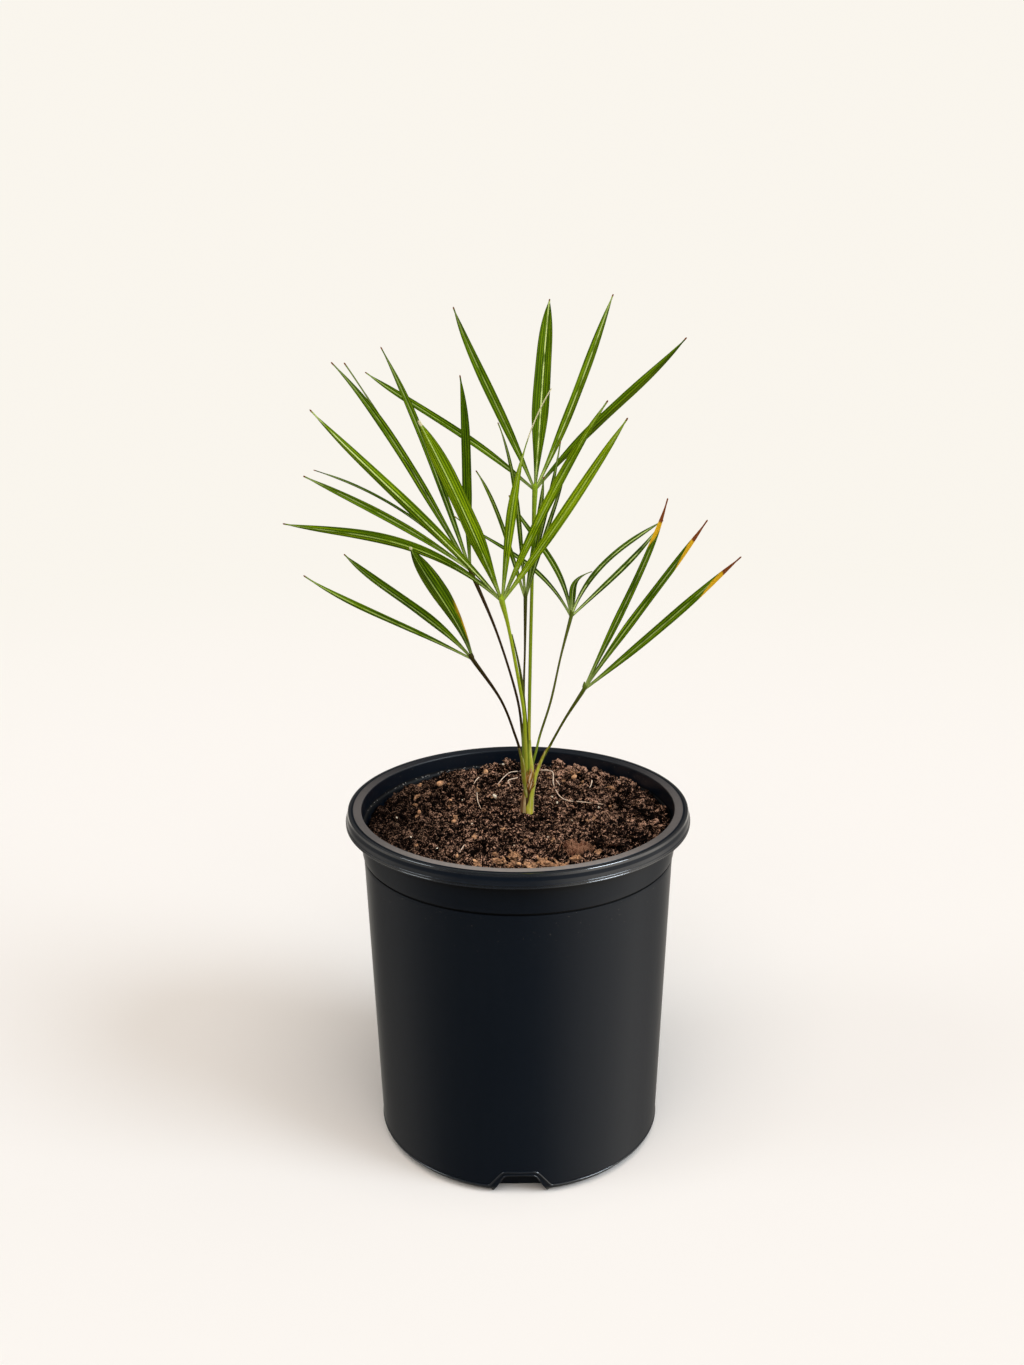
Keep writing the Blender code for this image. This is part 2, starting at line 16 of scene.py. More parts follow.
import bmesh
import bpy
import numpy as np
from mathutils import Euler, Matrix, Vector, noise
from mathutils.bvhtree import BVHTree

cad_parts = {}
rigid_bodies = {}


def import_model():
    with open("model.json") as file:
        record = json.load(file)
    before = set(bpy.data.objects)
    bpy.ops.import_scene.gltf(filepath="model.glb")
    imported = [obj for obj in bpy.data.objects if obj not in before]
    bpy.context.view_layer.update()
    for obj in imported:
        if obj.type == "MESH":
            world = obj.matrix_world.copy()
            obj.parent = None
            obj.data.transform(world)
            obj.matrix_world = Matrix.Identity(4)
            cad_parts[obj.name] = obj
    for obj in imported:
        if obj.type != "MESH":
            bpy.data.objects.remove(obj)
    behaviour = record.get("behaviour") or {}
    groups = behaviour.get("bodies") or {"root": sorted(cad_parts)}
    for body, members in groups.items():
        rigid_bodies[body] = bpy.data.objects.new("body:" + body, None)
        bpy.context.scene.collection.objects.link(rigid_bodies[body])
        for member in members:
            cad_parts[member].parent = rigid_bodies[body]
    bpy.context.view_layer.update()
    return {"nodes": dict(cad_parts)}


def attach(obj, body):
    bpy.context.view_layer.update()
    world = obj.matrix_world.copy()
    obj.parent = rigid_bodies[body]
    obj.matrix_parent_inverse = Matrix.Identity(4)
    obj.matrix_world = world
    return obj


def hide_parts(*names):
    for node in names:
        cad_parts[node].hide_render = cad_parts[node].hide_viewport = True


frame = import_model()

log = logging.getLogger("palm")

MM = 0.001
BODY = "root"
SEED = 41

Material = bpy.types.Material
Object = bpy.types.Object
Pair = tuple[float, float]
Triple = tuple[float, float, float]
Colour = Triple
Outline = list[Pair]
Spots = tuple[Triple, ...]
Route = Sequence[tuple[float, float, float, float]]


# Node trees


class Value:
    """A socket of a node tree, which Python's operators combine through Math nodes."""

    def __init__(self, tree: "Tree", socket: bpy.types.NodeSocket) -> None:
        """Keep the socket and the tree that it belongs to."""
        self.tree = tree
        self.socket = socket

    def out(self, name: str) -> "Value":
        """Return another output of the same node by its name."""
        found = [s for s in self.socket.node.outputs if s.name == name and s.enabled]
        return Value(self.tree, found[0])

    def maths(self, operation: str, *others: object, flip: bool = False) -> "Value":
        """Combine the socket with others by a Math node.

        Args:
            operation: The Math node's operation.
            others: The numbers or sockets that follow this one.
            flip: Whether this socket comes last.

        Returns:
            The node's result.
        """
        terms = (*others, self) if flip else (self, *others)
        return self.tree.add("ShaderNodeMath", {"operation": operation}, dict(enumerate(terms)))

    def __add__(self, other: object) -> "Value":
        """Add."""
        return self.maths("ADD", other)

    __radd__ = __add__

    def __mul__(self, other: object) -> "Value":
        """Multiply."""
        return self.maths("MULTIPLY", other)

    __rmul__ = __mul__

    def __sub__(self, other: object) -> "Value":
        """Subtract."""
        return self.maths("SUBTRACT", other)

    def __rsub__(self, other: object) -> "Value":
        """Subtract this socket from a number."""
        return self.maths("SUBTRACT", other, flip=True)

    def __truediv__(self, other: object) -> "Value":
        """Divide."""
        return self.maths("DIVIDE", other)

    def __pow__(self, other: object) -> "Value":
        """Raise to a power."""
        return self.maths("POWER", other)

    def size(self) -> "Value":
        """Return the value without its sign."""
        return self.maths("ABSOLUTE")

    def step(self, low: float, high: float) -> "Value":
        """Return a smooth step from 0 at low to 1 at high, where high may be the lower number.

        Args:
            low: Where it is 0.
            high: Where it is 1.

        Returns:
            The step.
        """
        if low > high:
            return 1.0 - self.step(high, low)
        sockets = {"Value": self, "From Min": low, "From Max": high}
        return self.tree.add("ShaderNodeMapRange", {"interpolation_type": "SMOOTHSTEP"}, sockets)


class Tree:
    """A node tree under construction."""

    def __init__(self, tree: bpy.types.NodeTree) -> None:
        """Start from an empty tree."""
        self.tree = tree
        tree.nodes.clear()

    def add(
        self,
        kind: str,
        settings: Mapping[str, object] | None = None,
        sockets: Mapping[str | int, object] | None = None,
    ) -> Value:
        """Add one node.

        Args:
            kind: The node's type.
            settings: Its own settings, and a ramp's stops as pairs of a place and a colour.
            sockets: Values or links of its inputs, by name or by number.

        Returns:
            Its first output, or its first input where it has no output.
        """
        node = self.tree.nodes.new(kind)
        for name, setting in (settings or {}).items():
            if name == "stops":
                self._set_stops(node.color_ramp, setting)
            else:
                setattr(node, name, setting)
        for key, given in (sockets or {}).items():
            self._feed(self._input(node, key), given)
        shown = [s for s in node.outputs if s.enabled]
        return Value(self, shown[0] if shown else node.inputs[0])

    @staticmethod
    def _set_stops(ramp: bpy.types.ColorRamp, stops: Sequence[tuple[float, Colour]]) -> None:
        """Give a ramp its stops.

        Args:
            ramp: The ramp.
            stops: Places from 0 to 1 and their colours.
        """
        while len(ramp.elements) < len(stops):
            ramp.elements.new(0.5)
        for element, (place, colour) in zip(ramp.elements, stops):
            element.position = place
            element.color = (*colour, 1.0)

    @staticmethod
    def _input(node: bpy.types.Node, key: str | int) -> bpy.types.NodeSocket:
        """Find an input by its number, or by its name among those in use.

        Args:
            node: The node.
            key: The number or the name.

        Returns:
            The input.
        """
        if isinstance(key, int):
            return node.inputs[key]
        return next(s for s in node.inputs if s.name == key and s.enabled)

    def _feed(self, socket: bpy.types.NodeSocket, given: object) -> None:
        """Link an input to a socket, or set its value.

        Args:
            socket: The input.
            given: A value, or what has an output.
        """
        if isinstance(given, Value):
            self.tree.links.new(given.socket, socket)
        elif socket.type == "RGBA" and len(given) == 3:
            socket.default_value = (*given, 1.0)
        else:
            socket.default_value = given

    def xyz(self, x: object, y: object, z: object) -> Value:
        """Combine three numbers or sockets to a vector."""
        return self.add("ShaderNodeCombineXYZ", None, {"X": x, "Y": y, "Z": z})

    def parts(self, vector: Value) -> tuple[Value, Value, Value]:
        """Split a vector into its three numbers."""
        x = self.add("ShaderNodeSeparateXYZ", None, {"Vector": vector})
        return x, x.out("Y"), x.out("Z")


class Skin(Tree):
    """A material under construction."""

    def __init__(self, name: str) -> None:
        """Make the material with an empty tree.

        Args:
            name: The material's name.
        """
        self.material = bpy.data.materials.new(name)
        self.material.use_nodes = True
        super().__init__(self.material.node_tree)

    def place(self) -> Value:
        """Return the place on the piece in metres."""
        return self.add("ShaderNodeTexCoord").out("Object")

    def read(self, name: str) -> Value:
        """Return one of the piece's own vector attributes."""
        return self.add("ShaderNodeAttribute", {"attribute_name": name}).out("Vector")

    def noise(self, vector: Value, scale: float, detail: float = 2.0, rough: float = 0.5) -> Value:
        """Return a noise of the vector."""
        sockets = {"Vector": vector, "Scale": scale, "Detail": detail, "Roughness": rough}
        return self.add("ShaderNodeTexNoise", None, sockets)

    def stretch(self, vector: Value, size: Triple) -> Value:
        """Return the vector times a size along each axis."""
        return self.add("ShaderNodeVectorMath", {"operation": "MULTIPLY"}, {0: vector, 1: size})

    def mix(self, factor: object, first: object, second: object) -> Value:
        """Mix two colours."""
        settings = {"data_type": "RGBA", "clamp_factor": True}
        return self.add("ShaderNodeMix", settings, {"Factor": factor, "A": first, "B": second})

    def bump(self, height: Value, depth: float, strength: float = 1.0) -> Value:
        """Return a normal from a height between 0 and 1 and its depth in mm."""
        sockets = {"Height": height, "Distance": depth * MM, "Strength": strength}
        return self.add("ShaderNodeBump", None, sockets)

    def finish(self, sockets: Mapping[str, object]) -> Material:
        """Close the material with its shader.

        Args:
            sockets: What feeds the shader's inputs.

        Returns:
            The material.
        """
        shader = self.add("ShaderNodeBsdfPrincipled", None, sockets)
        self.add("ShaderNodeOutputMaterial", None, {"Surface": shader})
        return self.material


class Geometry(Tree):
    """A Geometry Nodes tree under construction, with named inputs."""

    def __init__(self, name: str, inputs: Mapping[str, str]) -> None:
        """Make the tree.

        Args:
            name: Its name.
            inputs: The kind of socket of each named input.
        """
        group = bpy.data.node_groups.new(name, "GeometryNodeTree")
        group.is_modifier = True
        super().__init__(group)
        group.interface.new_socket("Geometry", in_out="INPUT", socket_type="NodeSocketGeometry")
        self.keys = {}
        for label, kind in inputs.items():
            socket = group.interface.new_socket(label, in_out="INPUT", socket_type="NodeSocket" + kind)
            self.keys[label] = socket.identifier
        group.interface.new_socket("Geometry", in_out="OUTPUT", socket_type="NodeSocketGeometry")
        self.given = self.add("NodeGroupInput")

    def close(self, geometry: Value, material: Value) -> None:
        """End the tree with real geometry in a material.

        Args:
            geometry: What the tree has made.
            material: The finish.
        """
        real = self.add("GeometryNodeRealizeInstances", None, {"Geometry": geometry})
        dressed = self.add("GeometryNodeSetMaterial", None, {"Geometry": real, "Material": material})
        self.add("NodeGroupOutput", None, {"Geometry": dressed})

    def run(self, name: str, source: Object, values: Mapping[str, object]) -> Object:
        """Run the tree on an object and keep the result as a mesh of its own.

        Args:
            name: The new object's name.
            source: The object that it starts from, which stays as it is.
            values: The value of each named input.

        Returns:
            The new object.
        """
        modifier = source.modifiers.new(name, "NODES")
        modifier.node_group = self.tree
        for label, value in values.items():
            modifier[self.keys[label]] = value
        mesh = evaluated(source)
        source.modifiers.remove(modifier)
        return linked(name, mesh)


# Meshes


def linked(name: str, data: bpy.types.ID) -> Object:
    """Put data into the scene as an object.

    Args:
        name: The object's name.
        data: What it shows.

    Returns:
        The object.
    """
    data.name = name
    made = bpy.data.objects.new(name, data)
    bpy.context.scene.collection.objects.link(made)
    return made


def evaluated(obj: Object) -> bpy.types.Mesh:
    """Return the object's mesh with its modifiers applied.

    Args:
        obj: The object.

    Returns:
        The mesh.
    """
    bpy.context.view_layer.update()
    depsgraph = bpy.context.evaluated_depsgraph_get()
    return bpy.data.meshes.new_from_object(obj.evaluated_get(depsgraph))


def wear_on(piece: Object, replaced: str = "") -> None:
    """Let a finished piece ride on the body.

    Args:
        piece: The piece, in place.
        replaced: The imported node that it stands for, if any.
    """
    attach(piece, BODY)
    if replaced:
        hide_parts(replaced)
    log.info("%s: %d faces", piece.name, len(piece.data.polygons))


class Solid:
    """Closed shells gathered in one mesh, with values at their points."""

    def __init__(self) -> None:
        """Start empty."""
        self.points: list[np.ndarray] = []
        self.faces: list[tuple[int, ...]] = []
        self.values: dict[str, list[np.ndarray]] = {}
        self.count = 0

    def add(
        self,
        points: np.ndarray,
        faces: Sequence[tuple[int, ...]],
        values: Mapping[str, np.ndarray] | None = None,
    ) -> None:
        """Add a shell.

        Args:
            points: Its points in mm.
            faces: Its faces, by their points' numbers.
            values: A vector for each point, by attribute.
        """
        self.faces.extend(tuple(index + self.count for index in face) for face in faces)
        self.points.append(points)
        self.count += len(points)
        for name, value in (values or {}).items():
            self.values.setdefault(name, []).append(value)

    def loft(
        self,
        rings: np.ndarray,
        tip: np.ndarray | None = None,
        values: Mapping[str, np.ndarray] | None = None,
    ) -> None:
        """Add a closed shell through rings of points.

        Args:
            rings: Rings, points and coordinates, turning anticlockwise about the way that they follow.
            tip: A last point that closes the end, if the last ring isn't closed by a face.
            values: Rings of vectors, by attribute.
        """
        count, around = rings.shape[:2]
        first = np.arange(around)
        after = (first + 1) % around
        faces: list[tuple[int, ...]] = [tuple(reversed(range(around)))]
        for row in range(count - 1):
            low = row * around
            high = low + around
            faces.extend(zip(low + first, low + after, high + after, high + first))
        last = (count - 1) * around
        points = rings.reshape(-1, 3)
        flat = {name: value.reshape(-1, 3) for name, value in (values or {}).items()}
        if tip is None:
            faces.append(tuple(range(last, last + around)))
        else:
            faces.extend(zip(last + first, last + after, [len(points)] * around))
            points = np.vstack([points, tip])
            flat = {name: np.vstack([value, value[-around:].mean(0)]) for name, value in flat.items()}
        self.add(points, faces, flat)

    def build(self, name: str, material: Material, sharp: float = 50.0) -> Object:
        """Make the object.

        Args:
            name: Its name.
            material: Its finish.
            sharp: The angle in degrees from which an edge is sharp.

        Returns:
            The object.
        """
        mesh = bpy.data.meshes.new(name)
        mesh.from_pydata(np.vstack(self.points) * MM, [], [tuple(map(int, face)) for face in self.faces])
        for attribute, parts in self.values.items():
            layer = mesh.attributes.new(attribute, "FLOAT_VECTOR", "POINT")
            layer.data.foreach_set("vector", np.vstack(parts).astype(np.float32).ravel())
        mesh.materials.append(material)
        mesh.shade_smooth()
        mesh.set_sharp_from_angle(angle=radians(sharp))
        return linked(name, mesh)


def polar(radius: float, angle: float, *rest: float) -> tuple[float, ...]:
    """Return the place at a radius and an angle, followed by what else is given."""
    return (radius * cos(angle), radius * sin(angle), *rest)


def drawn(rng: random.Random, scale: float, *spans: Pair) -> tuple[float, ...]:
    """Draw a number from each span, times a scale."""
    return tuple(scale * rng.uniform(low, high) for low, high in spans)


def spot(rng: random.Random, reach: float) -> Pair:
    """Draw a radius and an angle, evenly over a disc."""
    return reach * sqrt(rng.random()), rng.uniform(0.0, tau)


def unit(vectors: np.ndarray) -> np.ndarray:
    """Return the vectors at length 1."""
    return vectors / np.linalg.norm(vectors, axis=-1, keepdims=True)


def smooth(value: np.ndarray | float) -> np.ndarray | float:
    """Return a smooth step of a value from 0 to 1."""
    value = np.clip(value, 0.0, 1.0)
    return value * value * (3.0 - 2.0 * value)


def along(points: Sequence[Sequence[float]], count: int) -> np.ndarray:
    """Return places at even steps of a smooth line through the points.

    Args:
        points: The points, with any number of coordinates.
        count: How many places are read.

    Returns:
        A row for each place.
    """
    table = np.array(points, float)
    last = len(table) - 1
    position = np.linspace(0.0, 1.0, count) * last
    index = np.minimum(position.astype(int), last - 1)
    t = (position - index)[:, None]
    before = table[np.maximum(index - 1, 0)]
    start = table[index]
    end = table[index + 1]
    after = table[np.minimum(index + 2, last)]
    return 0.5 * (
        2.0 * start
        + (end - before) * t
        + (2.0 * before - 5.0 * start + 4.0 * end - after) * t**2
        + (3.0 * start - before - 3.0 * end + after) * t**3
    )


def sweep_tree() -> Geometry:
    """Make the tree that sweeps a flattened circle along a curve, as wide as the curve's radius.

    Returns:
        The tree, with the inputs Sides, Flatness and Material.
    """
    inputs = {"Sides": "Int", "Flatness": "Float", "Material": "Material"}
    tree = Geometry("sweep", inputs)
    given = tree.given
    sockets = {"Resolution": given.out("Sides"), "Radius": MM}
    circle = tree.add("GeometryNodeCurvePrimitiveCircle", None, sockets)
    flat = tree.xyz(1.0, given.out("Flatness"), 1.0)
    profile = tree.add("GeometryNodeTransform", None, {"Geometry": circle, "Scale": flat})
    share = tree.add("GeometryNodeSplineParameter")
    marked = tree.add(
        "GeometryNodeStoreNamedAttribute",
        {"data_type": "FLOAT_VECTOR", "domain": "POINT"},
        {"Geometry": given.out("Geometry"), "Name": "share", "Value": tree.xyz(share, 0.0, 0.0)},
    )
    width = tree.add("GeometryNodeInputRadius")
    sockets = {"Curve": marked, "Profile Curve": profile, "Scale": width, "Fill Caps": True}
    swept = tree.add("GeometryNodeCurveToMesh", None, sockets)
    rounded = tree.add("GeometryNodeSetShadeSmooth", None, {"Geometry": swept, "Shade Smooth": True})
    tree.close(rounded, given.out("Material"))
    return tree


def scatter_tree() -> Geometry:
    """Make the tree that strews bits from a collection over a surface.

    Returns:
        The tree, with an input for each value that the crumbs are strewn by.
    """
    spans = ("Density", "Smallest", "Largest", "Rise")
    inputs = {"Bits": "Collection", **dict.fromkeys(spans, "Float"), "Seed": "Int", "Material": "Material"}
    tree = Geometry("strew", inputs)
    given = tree.given
    seed = given.out("Seed")
    cover = tree.add("GeometryNodeInputNamedAttribute", {"data_type": "FLOAT_VECTOR"}, {"Name": "cover"})
    where = tree.parts(cover)[0]
    sockets = {"Mesh": given.out("Geometry"), "Density": given.out("Density") * where, "Seed": seed}
    spots = tree.add("GeometryNodeDistributePointsOnFaces", None, sockets)
    rise = tree.xyz(0.0, 0.0, given.out("Rise"))
    lifted = tree.add("GeometryNodeSetPosition", None, {"Geometry": spots, "Offset": rise})
    draw = tree.add("FunctionNodeRandomValue", None, {"Min": 0.0, "Max": 1.0, "Seed": seed})
    scale = given.out("Smallest") + (given.out("Largest") - given.out("Smallest")) * draw * draw
    sockets = {"Min": (0.0, 0.0, 0.0), "Max": (tau,) * 3, "Seed": seed}
    turn = tree.add("FunctionNodeRandomValue", {"data_type": "FLOAT_VECTOR"}, sockets)
    sockets = {"Collection": given.out("Bits"), "Separate Children": True, "Reset Children": True}
    bits = tree.add("GeometryNodeCollectionInfo", {"transform_space": "ORIGINAL"}, sockets)
    sockets = {
        "Points": lifted,
        "Instance": bits,
        "Pick Instance": True,
        "Rotation": tree.add("FunctionNodeEulerToRotation", None, {"Euler": turn}),
        "Scale": tree.xyz(scale, scale, scale),
    }
    strewn = tree.add("GeometryNodeInstanceOnPoints", None, sockets)
    tone = tree.add("FunctionNodeRandomValue", None, {"Min": 0.0, "Max": 1.0, "Seed": seed + 1.0})
    # Each crumb takes the bed's clearance under it, so that crumbs in the hollows get painted shade.
    bed = tree.add("GeometryNodeInputNamedAttribute", {"data_type": "FLOAT_VECTOR"}, {"Name": "tone"})
    clear = tree.parts(bed)[2] * 0.92 + 0.08
    toned = tree.add(
        "GeometryNodeStoreNamedAttribute",
        {"data_type": "FLOAT_VECTOR", "domain": "INSTANCE"},
        {"Geometry": strewn, "Name": "tone", "Value": tree.xyz(tone, 1.0, clear)},
    )
    tree.close(toned, given.out("Material"))
    return tree


@dataclass
class Sweeper:
    """Sweeps rods along routes."""

    tree: Geometry = field(default_factory=sweep_tree)

    def rod(
        self,
        name: str,
        route: Route | np.ndarray,
        material: Material,
        points: int = 40,
        sides: int = 12,
        flatness: float = 1.0,
        closed: bool = False,
    ) -> Object:
        """Sweep one rod.

        Args:
            name: Its name.
            route: Places and radii in mm, joined by a smooth line.
            material: Its finish.
            points: How many places are read from the line.
            sides: Sides of its section.
            flatness: The section's thickness as a share of its width.
            closed: Whether the route comes back to its start, and is then taken as it is.

        Returns:
            The rod.
        """
        places = np.array(route) if closed else along(route, points)
        return self.rods(name, [places], material, sides, flatness, closed)

    def rods(
        self,
        name: str,
        lines: Sequence[np.ndarray],
        material: Material,
        sides: int = 6,
        flatness: float = 1.0,
        closed: bool = False,
    ) -> Object:
        """Sweep several rods as one piece, each along its own places and radii.

        Args:
            name: The piece's name.
            lines: Places and radii in mm, for each rod.
            material: The finish.
            sides: Sides of their section.
            flatness: The section's thickness as a share of its width.
            closed: Whether each line comes back to its start.

        Returns:
            The rods.
        """
        curve = bpy.data.curves.new(name, "CURVE")
        curve.dimensions = "3D"
        for places in lines:
            spline = curve.splines.new("POLY")
            spline.points.add(len(places) - 1)
            spline.use_cyclic_u = closed
            for point, (x, y, z, radius) in zip(spline.points, places):
                point.co = (x * MM, y * MM, z * MM, 1.0)
                point.radius = radius
        source = linked(name + "_line", curve)
        values = {"Sides": sides, "Flatness": flatness, "Material": material}
        made = self.tree.run(name, source, values)
        bpy.data.objects.remove(source)
        return made


# Finishes


@dataclass(frozen=True)
class LeafSkin:
    """The skin of a blade: ribs and fine veins along it, a pale crease, dry ends, and painted shade along
    its edges and over one half.
    """

    deep: Colour
    green: Colour
    light: Colour
    # rim: the colour of the painted shade along the blade's edges and over its shaded half.
    rim: Colour = (0.026, 0.032, 0.003)
    crease: Colour = (0.58, 0.70, 0.24)
    yellow: Colour = (0.62, 0.36, 0.015)
    brown: Colour = (0.19, 0.055, 0.014)
    dry: Colour = (0.72, 0.68, 0.42)
    shine: float = 0.02

    def material(self, name: str) -> Material:
        """Make the material.

        Args:
            name: The material's name.

        Returns:
            The material.
        """
        skin = Skin(name)
        across, length, tone = skin.parts(skin.read("place"))
        phase, shadow, midrib = skin.parts(skin.read("rib_and_shade"))
        brown, yellow, pale = skin.parts(skin.read("wear"))
        streaks = skin.noise(skin.xyz(across * 2.0, length * 0.03, tone * 31.0), 1.0, 4.0, 0.7)
        broad = skin.noise(skin.xyz(across * 0.35, length * 0.045, tone * 17.0), 1.0, 2.0)
        ridges = (phase * pi).maths("COSINE") * 0.5
        drift = (streaks - 0.5) * 2.4 + (broad - 0.5) + ridges * 0.55
        stops = [(0.0, self.deep), (0.5, self.green), (1.0, self.light)]
        colour = skin.add("ShaderNodeValToRGB", {"stops": stops}, {"Fac": drift + (tone - 0.5) * 0.6 + 0.45})
        # Painted shade along the edges and over one half of a folded blade.
        colour = skin.mix(shadow, colour, self.rim)
        colour = skin.mix(length.step(14.0, 1.0) * 0.30, colour, self.crease)
        broken = skin.noise(skin.xyz(0.0, length * 0.10, tone * 5.0), 1.0, 2.0).step(0.30, 0.55)
        colour = skin.mix(across.size().step(0.42, 0.20) * midrib * broken, colour, self.crease)
        ragged = skin.noise(skin.xyz(across * 1.6, length * 0.16, tone * 9.0), 1.0, 3.0) - 0.5
        colour = skin.mix((yellow + ragged * 0.7).step(0.25, 0.75), colour, self.yellow)
        dead = (brown + ragged * 0.6).step(0.35, 0.65)
        colour = skin.mix(dead, colour, self.brown)
        colour = skin.mix((pale + ragged * 0.5).step(0.35, 0.70), colour, self.dry)
        sockets = {
            "Base Color": colour,
            "Roughness": broad * 0.14 + dead * 0.20 + 0.40,
            "Specular IOR Level": self.shine,
            "Normal": skin.bump(streaks + ridges, 0.12, 0.6),
        }
        return skin.finish(sockets)


@dataclass(frozen=True)
class StalkSkin:
    """The skin of a stalk, whose colour changes from its foot over its middle to its top."""

    foot: Colour
    middle: Colour
    top: Colour
    # A pale edge colour on the right, partly a painted highlight.
    margin_and_highlight: Colour | None = None
    tear: Colour = (0.26, 0.12, 0.03)
    straw: Colour = (0.85, 0.74, 0.36)
    contrast: float = 1.0
    foot_ends: float = 0.16
    middle_starts: float = 0.30
    top_starts: float = 0.80

    def material(self, name: str) -> Material:
        """Make the material.

        Args:
            name: The material's name.

        Returns:
            The material.
        """
        skin = Skin(name)
        share, edge, side = skin.parts(skin.read("share"))
        place = skin.place()
        streaks = skin.noise(skin.stretch(place, (2600.0, 2600.0, 90.0)), 1.0, 3.0, 0.6)
        patches = skin.noise(skin.stretch(place, (260.0, 260.0, 70.0)), 1.0, 2.0)
        drift = share + (patches - 0.5) * 0.16
        colour = skin.mix(drift.step(self.foot_ends, self.middle_starts), self.foot, self.middle)
        colour = skin.mix(drift.step(self.top_starts, 1.0), colour, self.top)
        # Pale margin on the right edge, partly a painted highlight, and torn brown on the left edge.
        if self.margin_and_highlight:
            rim = (edge + (patches - 0.5) * 0.4).step(0.32, 0.60)
            colour = skin.mix(rim * 0.80, colour, skin.mix(side.step(-0.3, 0.3), self.tear, self.margin_and_highlight))
            tears = skin.noise(skin.stretch(place, (1100.0, 1100.0, 60.0)), 1.0, 3.0, 0.6)
            colour = skin.mix(tears.step(0.54, 0.66) * 0.60, colour, self.tear)
            colour = skin.mix(tears.step(0.44, 0.36) * 0.50, colour, self.straw)
        dull = tuple(0.45 * part for part in self.middle)
        light = tuple(min(1.0, 1.5 * part + 0.05) for part in self.top)
        colour = skin.mix(streaks.step(0.35, 0.75) * 0.35 * self.contrast, colour, dull)
        colour = skin.mix(streaks.step(0.55, 0.85) * 0.30 * self.contrast, colour, light)
        sockets = {
            "Base Color": colour,
            "Roughness": patches * 0.2 + 0.38,
            "Specular IOR Level": 0.09,
            "Normal": skin.bump(streaks, 0.12, 0.5),
        }
        return skin.finish(sockets)


@dataclass(frozen=True)
class PotPlastic:
    """Black moulded plastic, satin, with a dusty ring whose front is made lighter by a painted sheen,
    painted shade in the collar's step and under the lip, and edges that are rubbed bright.
    """

    deep: Colour = (0.0010, 0.0040, 0.0098)
    worn: Colour = (0.0036, 0.0074, 0.0135)
    dust: Colour = (0.285, 0.255, 0.235)
    speck: Colour = (0.16, 0.14, 0.12)
    # groove: the near-black of the painted shade in the collar's step and under the lip.
    groove: Colour = (0.0002, 0.0003, 0.0006)
    bore: float = 76.0
    wall_outside: float = 74.0
    # shade: the heights of the collar that are darkened by painted shadow under the lip.
    shade: Pair = (160.0, 165.8)
    shoulder_height: float = 171.3
    bead_radius: float = 83.4
    lower_bead: float = 166.6
    ring_height: float = 172.3
    ring_inside: float = 76.3
    ring_outside: float = 80.3
    lip_foot: float = 169.2
    step_height: float = 149.6
    edge_gloss: float = 0.0

    def material(self, name: str) -> Material:
        """Make the material.

        Args:
            name: The material's name.

        Returns:
            The material.
        """
        skin = Skin(name)
        place = skin.place()
        x, y, z = (part / MM for part in skin.parts(place))
        radius = (x * x + y * y) ** 0.5
        clouds = skin.noise(place, 16.0, 3.0)
        grain = skin.noise(place, 2400.0, 2.0)
        streaks = skin.noise(skin.stretch(place, (240.0, 240.0, 10.0)), 1.0, 3.0)
        scuffs = skin.noise(skin.stretch(place, (500.0, 500.0, 90.0)), 1.0, 4.0, 0.65)
        colour = skin.mix(clouds * 0.5 + streaks * 0.5, self.deep, self.worn)
        flat = z.step(self.ring_height - 0.2, self.ring_height)
        flat = flat * radius.step(self.ring_inside - 0.2, self.ring_inside)
        flat = flat * radius.step(self.ring_outside + 0.1, self.ring_outside - 0.1)
        # Dust on the flat ring, laid thicker towards the front, where it also stands for a painted sheen.
        dust_and_sheen = y.step(76.0, -10.0) * 0.42 + y.step(-40.0, -82.0) * 0.62 + 0.02
        colour = skin.mix(flat * dust_and_sheen * (scuffs * 0.5 + 0.65), colour, self.dust)
        inside = z.step(120.0, 160.0) * radius.step(self.bore + 0.4, self.bore)
        specks = skin.noise(place, 900.0, 1.0).step(0.72, 0.78)
        colour = skin.mix(specks * inside * 0.5, colour, self.speck)
        # Painted shade: the collar's step and the collar just under the lip are darkened to near black.
        outer = radius.step(self.wall_outside - 1.0, self.wall_outside)
        line = z.step(self.step_height - 0.9, self.step_height - 0.4)
        line = line * z.step(self.step_height + 0.7, self.step_height + 0.4) * outer
        foot, top = self.shade
        shaded = z.step(foot, foot + 4.5) * z.step(top, top - 0.4) * outer
        colour = skin.mix((line + shaded * 0.9).maths("MINIMUM", 1.0), colour, self.groove)
        shoulder = radius.step(self.ring_outside + 0.9, self.ring_outside + 1.2)
        shoulder = shoulder * z.step(self.shoulder_height - 0.4, self.shoulder_height)
        beads = radius.step(self.bead_radius - 0.3, self.bead_radius)
        beads = beads * z.step(self.lip_foot + 0.3, self.lip_foot)
        lower = z.step(self.lower_bead + 0.6, self.lower_bead)
        gloss = shoulder + beads * (lower * 0.45 + 0.50) + self.edge_gloss
        sockets = {
            "Base Color": colour,
            "Roughness": clouds * 0.08 + scuffs * 0.08 + (flat + line + shaded) * 0.25 + 0.24,
            "Specular IOR Level": 0.5,
            "Coat Weight": gloss.maths("MINIMUM", 1.0),
            "Coat Roughness": 0.05,
            "Coat IOR": 2.6,
            "Normal": skin.bump(grain * 0.4 + scuffs * 0.6, 0.05, 0.30),
        }
        return skin.finish(sockets)


